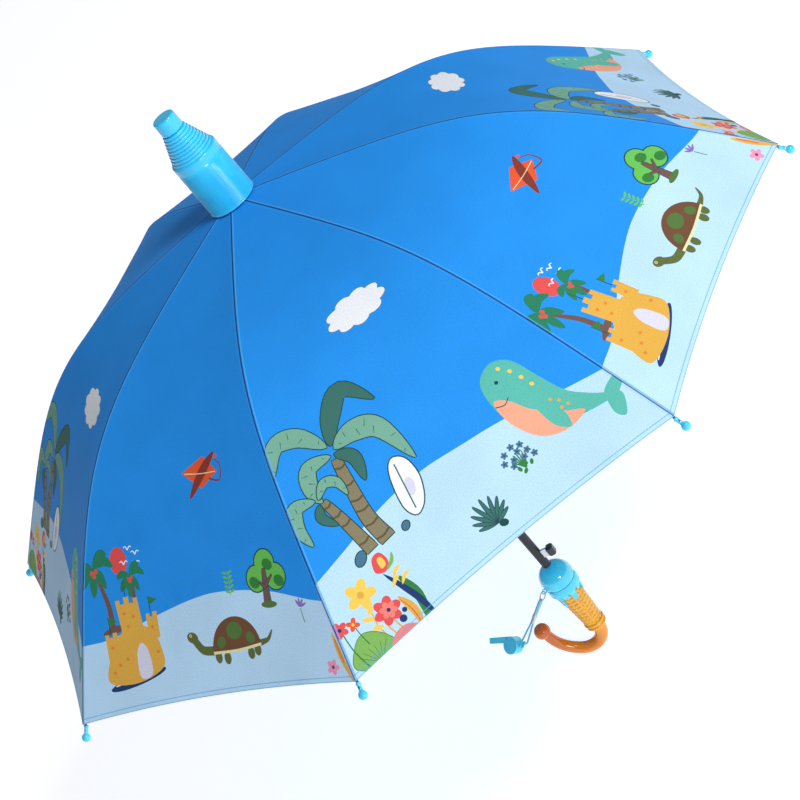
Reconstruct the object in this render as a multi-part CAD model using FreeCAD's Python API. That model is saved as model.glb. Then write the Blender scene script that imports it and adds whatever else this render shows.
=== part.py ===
import math
import os

import FreeCAD
import Part
from FreeCAD import Vector

# Children's stick umbrella, standing upright with its shaft on the Z axis.
# The origin is on the shaft axis, level with the bottom of the crook. Millimetres.

# Driving dimensions
RIBS = 8
FIRST_RIB_DEG = 180.0        # azimuth of rib 1, the crook's side
RIM_RADIUS = 420.6           # shaft axis to a fabric corner, open
CROWN_TOP_Z = 619.1          # fabric height there, above the crown pivots
RIB_ROOT_R = 12.0            # where the lengths along a rib start
SLOPE_IN_DEG = 9.68          # fabric slope along a rib near the crown
SLOPE_OUT_DEG = 45.9         # and near the rim
BEND_AT = 234.2              # length along the rib where it bends most
BEND_WIDTH = 44.8            # how softly it bends there
RIB_LENGTH = 478.4           # length of fabric along a rib, from the pivot circle
FABRIC = 0.8
FABRIC_START = 6.0           # the fabric's inner edge, along the rib
PANEL_GAP = 0.2              # each panel stops this far from the line between two ribs
RIB_DEPTH = 3.5              # rib centreline under the fabric's outer face
SHAFT_R = 4.5
SHAFT_WALL = 0.6
SHAFT_BOTTOM_Z = 60.0
SHAFT_TOP_Z = 640.0

# Ribs, rods and stretchers
RIB_W = 3.0
RIB_H = 2.6
EYE_R = 2.2
SHEET = 0.6                  # folded steel of the channels
WIRE_R = 0.6
WIRE_EYE_R = 1.0
PIN_R = 0.8
PIN_HOLE_R = 1.1
CHEEK_IN = 1.9               # inner and outer faces of every clevis cheek
CHEEK_OUT = 2.7
STRETCHER_AT = 226.0         # stretcher pivot, along the rib
LUG_DROP = 4.2               # and how far under the rib's centreline
FLEX_AT = 240.0              # joint between the steel rib and its outer rod
ROD_R = 1.2
ROD_START = 8.0              # the rod leaves its clevis this far past the joint
ROD_ARCS_MEET = (272.0, 300.0, 335.0, 385.0)
ROD_END = 6.0                # rod past the fabric corner, inside the tip
TIP_BALL_AT = 11.5
TIP_BALL_R = 4.0
TIP_NECK_R = 2.0
STRETCHER_H = 2.4
SLOT_W = 3.8                 # slots of the crown and runner
CORE_R = 8.4
CROWN_R = 16.0
RUNNER_R = 15.0
RUNNER_BORE_R = 4.9

# Drip-proof cover over the crown
CUP_BOTTOM_Z = 618.3
CUP_TOP_Z = 675.7
CUP_R = 23.0
CUP_WALL = 1.0
RING_COUNT = 9
RING_TOP_Z = 701.7
RING_R_LOW = 20.6
RING_R_HIGH = 11.6
CAP_TOP_Z = 716.7
CAP_R = 11.0
FERRULE_R = 4.0

# Handle: scoop, drips, waffle cone and crook
SCOOP_Z = 101.0
SCOOP_R = 17.5
SCOOP_FLAT_Z = 91.5
RING_BOTTOM_Z = 84.5
DRIP_RING_R = 17.2
CONE_R_TOP = 13.0
CONE_R_LOW = 9.75
CONE_LOW_Z = 35.0
COLLAR_R = 11.0
HOOK_BEND_R = 19.0           # the crook's tight bend, up to its rising side
HOOK_SWEEP_R = 42.0          # and the wider sweep up to its end
HOOK_SWEEP_FROM_DEG = 30.0
HOOK_SWEEP_TO_DEG = 80.0
HOOK_END_RUN = 11.0
HOOK_TUBE_R = 7.0
HOOK_END_R = 5.2
HOOK_BALL_R = 8.5

# Opening button
BUTTON_Z = 132.0
KNOB_FROM = 9.8
KNOB_TO = 17.6
KNOB_W = 9.0
KNOB_H = 11.4
KNOB_ROUND = 2.6
STALK_FROM = 2.4
STALK_W = 3.0
STALK_H = 9.0
STALK_GAP = 0.3              # clearance of the shaft's window round the stalk

# Lanyard and whistle, swung out from the scoop
LANYARD_DEG = 212.0          # azimuth of the eyelet
LANYARD_DIP_DEG = 28.3       # the lanyard's angle under the horizontal
EYELET_DROP = 3.0
EYELET_OUT = 1.9
EYELET_R = 2.3
EYELET_WIRE_R = 0.7
SPLIT_R = 4.4
SPLIT_WIRE_R = 0.6
BRAID_FROM = 8.0
BRAID_TO = 24.0
BRAID_R = 2.2
CRIMP_TO = 33.0
CRIMP_R = 2.6
LOOP_TO = 56.0
LOOP_R = 0.9
LOOP_HALF_TOP = 0.95
LOOP_BEND_R = 2.7
WHISTLE_MOUTH = Vector(-0.870, 0.482, 0.010)
WHISTLE_FACE = Vector(-0.320, -0.593, 0.738)
WHISTLE_R = 8.8
WHISTLE_W = 10.5
MOUTH_LENGTH = 27.0
MOUTH_H = 6.4
LUG_RING_R = 3.0
LUG_RING_WIRE_R = 1.0
LUG_RING_AT = 13.5
LUG_STEM_R = 1.5

Z_AXIS = Vector(0, 0, 1)
Y_AXIS = Vector(0, 1, 0)


def slope(s):
    """Slope of the fabric along a rib, in radians below the horizontal."""
    rise = SLOPE_OUT_DEG - SLOPE_IN_DEG
    return math.radians(SLOPE_IN_DEG + rise / (1 + math.exp((BEND_AT - s) / BEND_WIDTH)))


def profile(s, drop=0.0):
    """(radius, height) at length s along a rib, drop below the fabric's outer face."""
    steps = 400
    ds = s / steps
    r = RIB_ROOT_R
    z = CROWN_TOP_Z
    for k in range(steps):
        a = slope((k + 0.5) * ds)
        r += math.cos(a) * ds
        z -= math.sin(a) * ds
    a = slope(s)
    return r - drop * math.sin(a), z - drop * math.cos(a)


def cylinder(r, start, end):
    """Round bar between two points."""
    along = end - start
    return Part.makeCylinder(r, along.Length, start, along)


def ring(z0, z1, r_out, r_in):
    """Flat-ended tube about Z."""
    outer = Part.makeCylinder(r_out, z1 - z0, Vector(0, 0, z0))
    return outer.cut(Part.makeCylinder(r_in, z1 - z0 + 2, Vector(0, 0, z0 - 1)))


def plate(points, half_width):
    """Outline of (x, z) points, given its thickness along Y both ways."""
    wire = Part.makePolygon([Vector(x, -half_width, z) for x, z in points + points[:1]])
    return Part.Face(wire).extrude(Vector(0, 2 * half_width, 0))


def band(s0, s1, low, high, half_width, count=14):
    """Strip that follows the rib between two heights about its centreline."""
    lengths = [s0 + (s1 - s0) * k / count for k in range(count + 1)]
    upper = [profile(s, RIB_DEPTH - high) for s in lengths]
    lower = [profile(s, RIB_DEPTH - low) for s in reversed(lengths)]
    return plate(upper + lower, half_width)


def eye(x, z, r, half_width):
    return Part.makeCylinder(r, 2 * half_width, Vector(x, -half_width, z), Y_AXIS)


def cheeks(outline):
    """The two side plates of a clevis, from the same outline."""
    return plate(outline, CHEEK_OUT).cut(plate(outline, CHEEK_IN))


def around(shape, index):
    """A copy of shape, made along +X, turned to rib number index."""
    turned = shape.copy()
    turned.rotate(Vector(0, 0, 0), Z_AXIS, FIRST_RIB_DEG + 360.0 / RIBS * index)
    return turned


CROWN_PIVOT = profile(0.0, RIB_DEPTH)
STRETCHER_PIVOT = profile(STRETCHER_AT, RIB_DEPTH + LUG_DROP)
FLEX_PIVOT = profile(FLEX_AT, RIB_DEPTH)
# An isosceles linkage: the runner pivot is as far below the stretcher pivot as the crown is above.
RUNNER_PIVOT = (CROWN_PIVOT[0], 2 * STRETCHER_PIVOT[1] - CROWN_PIVOT[1])


def make_rib():
    body = band(0.0, FLEX_AT, -RIB_H / 2, RIB_H / 2, RIB_W / 2, 26)
    x, z = STRETCHER_PIVOT
    root = profile(STRETCHER_AT, RIB_DEPTH)
    lug = plate([(root[0] - 3, root[1]), (root[0] + 3, root[1]), (x + EYE_R, z), (x - EYE_R, z)], RIB_W / 2)
    body = body.fuse([lug, eye(x, z, EYE_R, RIB_W / 2)])
    body = body.fuse(eye(*CROWN_PIVOT, EYE_R, RIB_W / 2))
    body = body.fuse(eye(*FLEX_PIVOT, EYE_R - 0.2, RIB_W / 2))
    groove = band(12.0, STRETCHER_AT - 9, -RIB_H, RIB_H / 2 - SHEET, RIB_W / 2 - SHEET, 22)
    body = body.cut(groove)
    body = body.cut(eye(*CROWN_PIVOT, WIRE_EYE_R, RIB_W))
    body = body.cut(eye(x, z, PIN_HOLE_R, RIB_W))
    return body.cut(eye(*FLEX_PIVOT, PIN_HOLE_R, RIB_W)).removeSplitter()


def make_rod():
    """Glass-fibre rod from the flex joint to the tip, with a clevis over the rib's end."""
    joints = [FLEX_AT + ROD_START, *ROD_ARCS_MEET, RIB_LENGTH + ROD_END]
    start = in_plane(profile(joints[0], RIB_DEPTH))
    section = Part.Wire([Part.makeCircle(ROD_R, start, heading(slope(joints[0])))])
    arcs = []
    for s0, s1 in zip(joints, joints[1:]):
        end, arc = tangent_arc(start, slope(s0), slope(s1), chord_length(s0, s1))
        arcs.append(arc)
        start = end
    rod = Part.Wire(arcs).makePipeShell([section], True, True)
    x, z = FLEX_PIVOT
    a = slope(FLEX_AT)
    along = Vector(math.cos(a), 0, -math.sin(a))
    up = Vector(math.sin(a), 0, math.cos(a))
    centre = Vector(x, 0, z)

    def corner(length, height):
        p = centre + along * length + up * height
        return (p.x, p.z)

    half = 1.5
    side = [corner(0, half), corner(8.6, half), corner(8.6, -half), corner(0, -half)]
    block = plate([corner(5.6, half), corner(8.6, half), corner(8.6, -half), corner(5.6, -half)], CHEEK_OUT)
    round_end = eye(x, z, half, CHEEK_OUT).cut(eye(x, z, half + 1, CHEEK_IN))
    clevis = cheeks(side).fuse([block, round_end, eye(x, z, PIN_R, CHEEK_OUT)])
    return clevis.fuse(rod).removeSplitter()


def spaced(a, b, count):
    return [a + (b - a) * k / (count - 1) for k in range(count)]


def in_plane(pair):
    """(radius, height) as a point in the rib's own plane."""
    return Vector(pair[0], 0.0, pair[1])


def heading(angle):
    """Direction outward along a rib that slopes down by this angle."""
    return Vector(math.cos(angle), 0, -math.sin(angle))


def chord_length(s0, s1):
    """Straight distance along the rib's centreline between two lengths."""
    return (in_plane(profile(s1, RIB_DEPTH)) - in_plane(profile(s0, RIB_DEPTH))).Length


def tangent_arc(start, angle0, angle1, chord):
    """Arc of that chord whose slope runs from angle0 to angle1, and its end."""
    mean = (angle0 + angle1) / 2
    quarter = (angle1 - angle0) / 4
    end = start + heading(mean) * chord
    half_way = start + heading((angle0 + mean) / 2) * (chord / (2 * math.cos(quarter)))
    return end, Part.Arc(start, half_way, end).toShape()


def make_tip(rod):
    end = in_plane(profile(RIB_LENGTH + TIP_BALL_AT, RIB_DEPTH))
    neck = in_plane(profile(RIB_LENGTH + 1.0, RIB_DEPTH))
    tip = cylinder(TIP_NECK_R, neck, end).fuse(Part.makeSphere(TIP_BALL_R, end))
    return tip.cut(rod)


def make_stretcher():
    low = Vector(RUNNER_PIVOT[0], 0, RUNNER_PIVOT[1])
    high = Vector(STRETCHER_PIVOT[0], 0, STRETCHER_PIVOT[1])
    along = (high - low).normalize()
    up = Vector(-along.z, 0, along.x)
    length = (high - low).Length

    def bar(a, b, below, above, half_width):
        corners = [low + along * s + up * h for s, h in ((a, below), (b, below), (b, above), (a, above))]
        return plate([(p.x, p.z) for p in corners], half_width)

    half = STRETCHER_H / 2
    body = bar(0, length - 8, -half, half, RIB_W / 2)
    body = body.fuse(eye(low.x, low.z, EYE_R, RIB_W / 2))
    body = body.cut(bar(8, length - 14, -half + SHEET, half + 1, RIB_W / 2 - SHEET))
    body = body.cut(eye(low.x, low.z, WIRE_EYE_R, RIB_W))
    side = bar(length - 12, length, -half, half, CHEEK_OUT)
    side = side.cut(bar(length - 13, length + 1, -2, 2, CHEEK_IN))
    round_end = eye(high.x, high.z, half, CHEEK_OUT).cut(eye(high.x, high.z, half + 1, CHEEK_IN))
    block = bar(length - 12, length - 8, -half, half, CHEEK_OUT)
    pin = eye(high.x, high.z, PIN_R, CHEEK_OUT)
    return body.fuse([side, round_end, block, pin]).removeSplitter()


def panel_face(a, b, c, d):
    return Part.Face(Part.makePolygon([a, b, c, d, a]))


def make_panel():
    """Fabric that one rib carries: half a gore on each side, flat from the rib to the mid-line."""
    half = math.pi / RIBS
    lengths = spaced(FABRIC_START, RIB_LENGTH, 25)
    layers = []
    for drop in (0.0, FABRIC):
        layers.append([profile(s, drop) for s in lengths])
    solid = None
    for side in (1, -1):
        def rib_point(p):
            return Vector(p[0], 0, p[1])

        def mid_point(p):
            return Vector(p[0] * math.cos(half) ** 2, side * p[0] * math.cos(half) * math.sin(half), p[1])

        faces = []
        for k in range(len(lengths) - 1):
            for layer in layers:
                p, q = layer[k], layer[k + 1]
                faces.append(panel_face(rib_point(p), rib_point(q), mid_point(q), mid_point(p)))
            a, b = layers[0][k], layers[0][k + 1]
            c, d = layers[1][k + 1], layers[1][k]
            faces.append(panel_face(*[rib_point(p) for p in (a, b, c, d)]))
            faces.append(panel_face(*[mid_point(p) for p in (a, b, c, d)]))
        for k in (0, len(lengths) - 1):
            a, b = layers[0][k], layers[1][k]
            faces.append(panel_face(rib_point(a), rib_point(b), mid_point(b), mid_point(a)))
        piece = Part.Solid(Part.Shell(faces))
        if piece.Volume < 0:
            piece.reverse()
        slab = Part.makeBox(2 * RIM_RADIUS, 2 * PANEL_GAP, 400, Vector(0, -PANEL_GAP, 300))
        slab.rotate(Vector(0, 0, 0), Z_AXIS, side * math.degrees(half))
        piece = piece.cut(slab)
        solid = piece if solid is None else solid.fuse(piece)
    return solid.removeSplitter()


def slotted_disc(z0, z1, radius):
    """Disc with one open slot per rib, around a solid core."""
    disc = Part.makeCylinder(radius, z1 - z0, Vector(0, 0, z0))
    for i in range(RIBS):
        slot = Part.makeBox(radius, SLOT_W, z1 - z0 + 2, Vector(CORE_R - 0.1, -SLOT_W / 2, z0 - 1))
        disc = disc.cut(around(slot, i))
    return disc


def make_crown(wire):
    z = CROWN_PIVOT[1]
    crown = slotted_disc(z - 5.5, z + 4.5, CROWN_R)
    crown = crown.fuse(Part.makeCylinder(CORE_R, 14, Vector(0, 0, z - 9)))
    crown = crown.cut(Part.makeCylinder(SHAFT_R, 40, Vector(0, 0, z - 20)))
    return crown.cut(wire)


def make_runner():
    z = RUNNER_PIVOT[1]
    runner = slotted_disc(z - 4.5, z + 4.5, RUNNER_R)
    runner = runner.fuse(Part.makeCylinder(CORE_R, 35, Vector(0, 0, z - 28)))
    runner = runner.fuse(Part.makeCylinder(CORE_R + 0.9, 4, Vector(0, 0, z - 28)))
    return runner.cut(Part.makeCylinder(RUNNER_BORE_R, 60, Vector(0, 0, z - 40)))


def make_shaft():
    shaft = ring(SHAFT_BOTTOM_Z, SHAFT_TOP_Z, SHAFT_R, SHAFT_R - SHAFT_WALL)
    width = STALK_W + 2 * STALK_GAP
    height = STALK_H + 2 * STALK_GAP
    window = Part.makeBox(8, width, height, Vector(1, -width / 2, BUTTON_Z - height / 2))
    return shaft.cut(window)


def make_ferrule():
    plug = Part.makeCylinder(SHAFT_R - SHAFT_WALL, 20, Vector(0, 0, SHAFT_TOP_Z - 20))
    return plug.fuse(Part.makeCylinder(FERRULE_R, CAP_TOP_Z - 4 - SHAFT_TOP_Z, Vector(0, 0, SHAFT_TOP_Z)))


def make_cup():
    wall = ring(CUP_BOTTOM_Z, CUP_TOP_Z, CUP_R, CUP_R - CUP_WALL)
    shoulder = ring(CUP_TOP_Z - 1.5, CUP_TOP_Z, CUP_R - CUP_WALL, RING_R_LOW - 1.5)
    return wall.fuse(shoulder).removeSplitter()


def make_sections():
    """The folded sleeve: stepped rings, each nested in the one below."""
    stack = None
    height = (RING_TOP_Z - CUP_TOP_Z) / RING_COUNT
    for k in range(RING_COUNT):
        r = RING_R_LOW + (RING_R_HIGH - RING_R_LOW) * k / (RING_COUNT - 1)
        z = CUP_TOP_Z + k * height
        step = ring(z, z + height, r, max(r - 2.2, FERRULE_R + 1.2))
        stack = step if stack is None else stack.fuse(step)
    return stack.removeSplitter()


def make_cap():
    cap = Part.makeCylinder(CAP_R, CAP_TOP_Z - RING_TOP_Z, Vector(0, 0, RING_TOP_Z))
    top_edges = [e for e in cap.Edges if abs(e.BoundBox.ZMin - CAP_TOP_Z) < 1e-6 and len(e.Vertexes) == 1]
    cap = cap.makeFillet(1.2, top_edges[:1])
    depth = CAP_TOP_Z - 3.5 - RING_TOP_Z
    return cap.cut(Part.makeCylinder(FERRULE_R + 0.3, depth + 1, Vector(0, 0, RING_TOP_Z - 1)))


def cone_grip():
    height = RING_BOTTOM_Z - CONE_LOW_Z
    cone = Part.makeCone(CONE_R_LOW, CONE_R_TOP, height, Vector(0, 0, CONE_LOW_Z))
    return cone.cut(Part.makeCylinder(SHAFT_R, 60, Vector(0, 0, SHAFT_BOTTOM_Z)))


def make_scoop():
    ball = Part.makeSphere(SCOOP_R, Vector(0, 0, SCOOP_Z))
    ball = ball.cut(Part.makeBox(80, 80, 40, Vector(-40, -40, SCOOP_FLAT_Z - 40)))
    return ball.cut(Part.makeCylinder(SHAFT_R, 80, Vector(0, 0, SCOOP_Z - 40)))


def make_drips():
    """Lip under the scoop with drips of several lengths running down the cone."""
    lip = Part.makeCylinder(DRIP_RING_R, SCOOP_FLAT_Z - RING_BOTTOM_Z, Vector(0, 0, RING_BOTTOM_Z))
    lip = lip.makeFillet(3.0, [e for e in lip.Edges if len(e.Vertexes) == 1])
    drip_lengths = (13.0, 8.0, 17.0, 10.0, 15.0, 7.5, 12.0, 9.0)
    taper = (CONE_R_TOP - CONE_R_LOW) / (RING_BOTTOM_Z - CONE_LOW_Z)
    for i, length in enumerate(drip_lengths):
        a = math.radians(20 + 360.0 / len(drip_lengths) * i)
        outward = Vector(math.cos(a), math.sin(a), 0)
        low_z = RING_BOTTOM_Z - length
        top = outward * (CONE_R_TOP + 0.4) + Z_AXIS * (RING_BOTTOM_Z + 2)
        low = outward * (CONE_R_TOP + 0.4 - taper * length) + Z_AXIS * low_z
        lip = lip.fuse([cylinder(2.5, low, top), Part.makeSphere(2.8, low)])
    lip = lip.cut(cone_grip())
    lip = lip.cut(Part.makeCylinder(CONE_R_TOP - 0.01, 40, Vector(0, 0, RING_BOTTOM_Z - 40)))
    return lip.cut(Part.makeCylinder(SHAFT_R, 80, Vector(0, 0, SCOOP_Z - 60)))


def crook_path():
    """(centre, direction, radius) along the crook, from inside the cone to its end."""
    bend = math.radians(90 + HOOK_SWEEP_FROM_DEG) * HOOK_BEND_R
    sweep = math.radians(HOOK_SWEEP_TO_DEG - HOOK_SWEEP_FROM_DEG) * HOOK_SWEEP_R
    length = bend + sweep + HOOK_END_RUN
    step = 0.25
    count = int(length / step)
    x = 0.0
    z = 0.0
    path = []
    for k in range(count + 1):
        s = k * length / count
        if s < bend:
            angle = math.radians(-90) + s / HOOK_BEND_R
        else:
            angle = math.radians(HOOK_SWEEP_FROM_DEG) + min(s - bend, sweep) / HOOK_SWEEP_R
        path.append((x, z, angle, HOOK_TUBE_R + (HOOK_END_R - HOOK_TUBE_R) * s / length))
        x -= math.cos(angle) * length / count
        z += math.sin(angle) * length / count
    lowest = min(z - r * math.cos(angle) for x, z, angle, r in path)
    return [(x, z - lowest, angle, r) for x, z, angle, r in path]


def make_hook():
    """Crook with the collar it leaves the cone by and the ball at its end."""
    path = crook_path()
    sections = [(Vector(0, 0, CONE_LOW_Z - 2), Vector(0, 0, -1), HOOK_TUBE_R)]
    every = len(path) // 18
    for x, z, angle, r in path[::every]:
        sections.append((Vector(x, 0, z), Vector(-math.cos(angle), 0, math.sin(angle)), r))
    wires = [Part.Wire([Part.makeCircle(r, p, t)]) for p, t, r in sections]
    tube = Part.makeLoft(wires, True, False)
    x, z = path[-1][:2]
    ball = Part.makeSphere(HOOK_BALL_R, Vector(x, 0, z))
    collar = Part.makeCylinder(COLLAR_R, 8, Vector(0, 0, CONE_LOW_Z - 8))
    collar = collar.makeFillet(3.4, [e for e in collar.Edges if len(e.Vertexes) == 1])
    print("crook end", (x, z))
    return tube.fuse([ball, collar])


OUT = Vector(math.cos(math.radians(LANYARD_DEG)), math.sin(math.radians(LANYARD_DEG)), 0)
TANGENT = Z_AXIS.cross(OUT)
DOWN_LINE = OUT * math.cos(math.radians(LANYARD_DIP_DEG)) - Z_AXIS * math.sin(math.radians(LANYARD_DIP_DEG))
EYELET = OUT * (math.sqrt(SCOOP_R ** 2 - EYELET_DROP ** 2) + EYELET_OUT) + Z_AXIS * (SCOOP_Z - EYELET_DROP)


def on_line(length, side=0.0, side_axis=None):
    p = EYELET + DOWN_LINE * length
    return p + side_axis * side if side_axis else p


def loop_side():
    """The way the two strands of the cord loop spread: across the whistle's lug."""
    across = (WHISTLE_MOUTH + WHISTLE_FACE).normalize()
    return (across - DOWN_LINE * across.dot(DOWN_LINE)).normalize()


def make_loop():
    """One thin cord: down from the crimp, round through the whistle's lug and back."""
    side = loop_side()
    turn = on_line(LOOP_TO - LOOP_BEND_R - LOOP_R)
    starts = [on_line(CRIMP_TO, s * LOOP_HALF_TOP, side) for s in (1, -1)]
    offset = turn - on_line(CRIMP_TO)
    lean = math.atan2(LOOP_BEND_R - LOOP_HALF_TOP, offset.Length)
    touch = []
    for s in (1, -1):
        outward = side * (s * math.cos(lean)) - DOWN_LINE * math.sin(lean)
        touch.append(turn + outward * LOOP_BEND_R)
    bottom = turn + DOWN_LINE * LOOP_BEND_R
    path = Part.Wire([
        Part.LineSegment(starts[0], touch[0]).toShape(),
        Part.Arc(touch[0], bottom, touch[1]).toShape(),
        Part.LineSegment(touch[1], starts[1]).toShape(),
    ])
    section = Part.Wire([Part.makeCircle(LOOP_R, starts[0], touch[0] - starts[0])])
    print("cord loop length", round(path.Length, 2), "bend radius", LOOP_BEND_R)
    return path.makePipeShell([section], True, True)


def make_whistle():
    """Pea whistle: drum, mouthpiece with an air slot, and a ring lug at the back."""
    mouth = Vector(WHISTLE_MOUTH).normalize()
    face = (WHISTLE_FACE - mouth * WHISTLE_FACE.dot(mouth)).normalize()
    up = mouth.cross(face)
    lug_top = on_line(LOOP_TO - 2 * LOOP_R - LUG_RING_WIRE_R - 0.05)
    lug_centre = lug_top + DOWN_LINE * LUG_RING_R
    drum_centre = lug_centre + mouth * LUG_RING_AT
    frame = FreeCAD.Matrix(mouth.x, up.x, -face.x, drum_centre.x, mouth.y, up.y, -face.y, drum_centre.y,
                           mouth.z, up.z, -face.z, drum_centre.z, 0, 0, 0, 1)
    drum = Part.makeCylinder(WHISTLE_R, WHISTLE_W, Vector(0, 0, -WHISTLE_W / 2))
    drum = drum.cut(Part.makeCylinder(WHISTLE_R - 1.4, WHISTLE_W - 3, Vector(0, 0, 1.5 - WHISTLE_W / 2)))
    tube = Part.makeBox(MOUTH_LENGTH, MOUTH_H, WHISTLE_W, Vector(0, WHISTLE_R - MOUTH_H, -WHISTLE_W / 2))
    tube = tube.cut(Part.makeCylinder(WHISTLE_R - 0.7, WHISTLE_W + 2, Vector(0, 0, -WHISTLE_W / 2 - 1)))
    inside = 1.5 - WHISTLE_W / 2
    windway = Part.makeBox(MOUTH_LENGTH, 1.6, WHISTLE_W - 3, Vector(4, WHISTLE_R - 4.0, inside))
    slot = Part.makeBox(3.6, 5, WHISTLE_W - 3, Vector(2.4, WHISTLE_R - 3.4, inside))
    body = drum.fuse(tube).cut(windway).cut(slot)
    body.transformShape(frame)
    lug = Part.makeTorus(LUG_RING_R, LUG_RING_WIRE_R, lug_centre, loop_side())
    stem = cylinder(LUG_STEM_R, lug_centre + DOWN_LINE * LUG_RING_R, drum_centre)
    body = body.fuse([lug, stem])
    hollow = Part.makeCylinder(WHISTLE_R - 1.4, WHISTLE_W - 3, Vector(0, 0, 1.5 - WHISTLE_W / 2))
    hollow.transformShape(frame)
    return body.cut(hollow).removeSplitter()


def make_lanyard():
    eyelet = Part.makeTorus(EYELET_R, EYELET_WIRE_R, EYELET, TANGENT)
    ring_normal = TANGENT.cross(DOWN_LINE)
    split = Part.makeTorus(SPLIT_R, SPLIT_WIRE_R, on_line(SPLIT_R), ring_normal)
    braid = cylinder(BRAID_R, on_line(BRAID_FROM), on_line(BRAID_TO))
    braid = braid.fuse(Part.makeSphere(BRAID_R, on_line(BRAID_FROM))).cut(split)
    crimp = cylinder(CRIMP_R, on_line(BRAID_TO), on_line(CRIMP_TO))
    return eyelet.cut(make_scoop()), split, braid, crimp, make_loop(), make_whistle()


def make_button():
    corner = Vector(KNOB_FROM, -KNOB_W / 2, BUTTON_Z - KNOB_H / 2)
    knob = Part.makeBox(KNOB_TO - KNOB_FROM, KNOB_W, KNOB_H, corner)
    knob = knob.makeFillet(KNOB_ROUND, knob.Edges)
    corner = Vector(STALK_FROM, -STALK_W / 2, BUTTON_Z - STALK_H / 2)
    return knob, Part.makeBox(KNOB_FROM - STALK_FROM, STALK_W, STALK_H, corner)


def export(shape, name):
    if not shape.isValid():
        print("not valid:", name)
    shape.exportStep("parts/" + name + ".step")


def main():
    os.makedirs("parts", exist_ok=True)
    wire = Part.makeTorus(CROWN_PIVOT[0], WIRE_R, Vector(0, 0, CROWN_PIVOT[1]))
    eyelet, split, braid, crimp, loop, whistle = make_lanyard()
    knob, stalk = make_button()
    nodes = {
        "shaft": make_shaft(), "ferrule": make_ferrule(), "crown": make_crown(wire), "crown_wire": wire,
        "runner": make_runner(), "cover_cup": make_cup(), "cover_sections": make_sections(),
        "cover_cap": make_cap(), "scoop": make_scoop(), "drip_ring": make_drips(), "cone_grip": cone_grip(),
        "hook": make_hook(), "lanyard_eyelet": eyelet, "split_ring": split, "lanyard_braid": braid,
        "lanyard_crimp": crimp, "lanyard_loop": loop, "whistle": whistle,
        "open_button": knob, "button_stalk": stalk,
    }
    rod = make_rod()
    repeated = {"rib": make_rib(), "rod": rod, "rib_tip": make_tip(rod), "stretcher": make_stretcher(),
                "canopy_panel": make_panel()}
    for name, shape in repeated.items():
        for i in range(RIBS):
            nodes[f"{name}_{i + 1}"] = around(shape, i)
    for name, shape in nodes.items():
        export(shape, name)
    print(len(nodes), "nodes; rim at", [round(v, 2) for v in profile(RIB_LENGTH)])
    print("crown pivot", CROWN_PIVOT, "stretcher pivot", STRETCHER_PIVOT)
    print("flex pivot", FLEX_PIVOT, "runner pivot", RUNNER_PIVOT)
    print("eyelet", EYELET, "lanyard", DOWN_LINE, "swing axis", TANGENT)
    for name, shape in nodes.items():
        if len(shape.Solids) != 1:
            print(name, "has", len(shape.Solids), "solids")


main()
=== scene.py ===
import math
from contextlib import contextmanager

import bmesh
import bpy
from mathutils import Matrix, Vector
from mathutils.geometry import delaunay_2d_cdt


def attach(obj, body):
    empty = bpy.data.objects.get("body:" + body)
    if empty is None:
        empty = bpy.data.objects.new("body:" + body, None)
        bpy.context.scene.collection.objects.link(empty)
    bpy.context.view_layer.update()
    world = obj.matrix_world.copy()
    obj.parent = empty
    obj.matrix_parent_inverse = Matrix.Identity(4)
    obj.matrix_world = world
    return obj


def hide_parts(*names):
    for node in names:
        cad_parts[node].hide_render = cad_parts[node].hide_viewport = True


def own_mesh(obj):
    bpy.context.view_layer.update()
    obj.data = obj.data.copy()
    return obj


# A children's stick umbrella, standing on its crook with the shaft on the Z axis.
# Scene units are metres; the canopy and handle are laid out in millimetres and scaled by MM.

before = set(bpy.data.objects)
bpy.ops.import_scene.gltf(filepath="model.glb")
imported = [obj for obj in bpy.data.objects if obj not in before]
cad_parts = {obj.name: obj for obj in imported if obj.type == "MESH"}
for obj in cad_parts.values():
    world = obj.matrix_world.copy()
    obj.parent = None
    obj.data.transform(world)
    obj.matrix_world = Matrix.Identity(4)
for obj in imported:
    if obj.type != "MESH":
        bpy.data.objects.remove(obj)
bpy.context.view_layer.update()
MM = 0.001

# Canopy and frame dimensions, as in the part
RIBS = 8
FIRST_RIB = math.radians(180)
HALF_GORE = math.pi / RIBS
CROWN_TOP = 619.1
RIB_ROOT = 12.0
FABRIC_START = 6.0
RIB_LENGTH = 478.4
FLEX_AT = 240.0
GORE_DIP = 0.016             # how far a gore dips between its ribs, as a share of its width
HEM_RISE = 7.0               # how far the hem curves up between two tips
CLOTH = 0.35                 # pongee with its coating
HEM_BAND = 5.0
HEM_CLOTH = 0.8


def rib_slope(s):
    """Slope of the fabric along a rib, in radians below the horizontal."""
    return math.radians(9.68 + 36.22 / (1 + math.exp((234.2 - s) / 44.8)))


def rib_table(step=0.5, end=520.0):
    """(radius, height) every half millimetre along a rib."""
    points = [(RIB_ROOT, CROWN_TOP)]
    for k in range(int(end / step)):
        a = rib_slope((k + 0.5) * step)
        r, z = points[-1]
        points.append((r + math.cos(a) * step, z - math.sin(a) * step))
    return points


RIB_TABLE = rib_table()


def on_rib(s):
    """Radius and height of the fabric at length s along a rib."""
    k = min(max(s * 2, 0.0), len(RIB_TABLE) - 1.001)
    low = int(k)
    f = k - low
    a = RIB_TABLE[low]
    b = RIB_TABLE[low + 1]
    return a[0] + (b[0] - a[0]) * f, a[1] + (b[1] - a[1]) * f


def half_width(s):
    return on_rib(s)[0] * math.sin(HALF_GORE)


def hem_at(x, half):
    """Length down the gore at which its hem lies, x across from the middle."""
    return RIB_LENGTH - HEM_RISE * (1 - min(1.0, (x / half) ** 2))


# ---------------------------------------------------------------- materials

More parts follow.
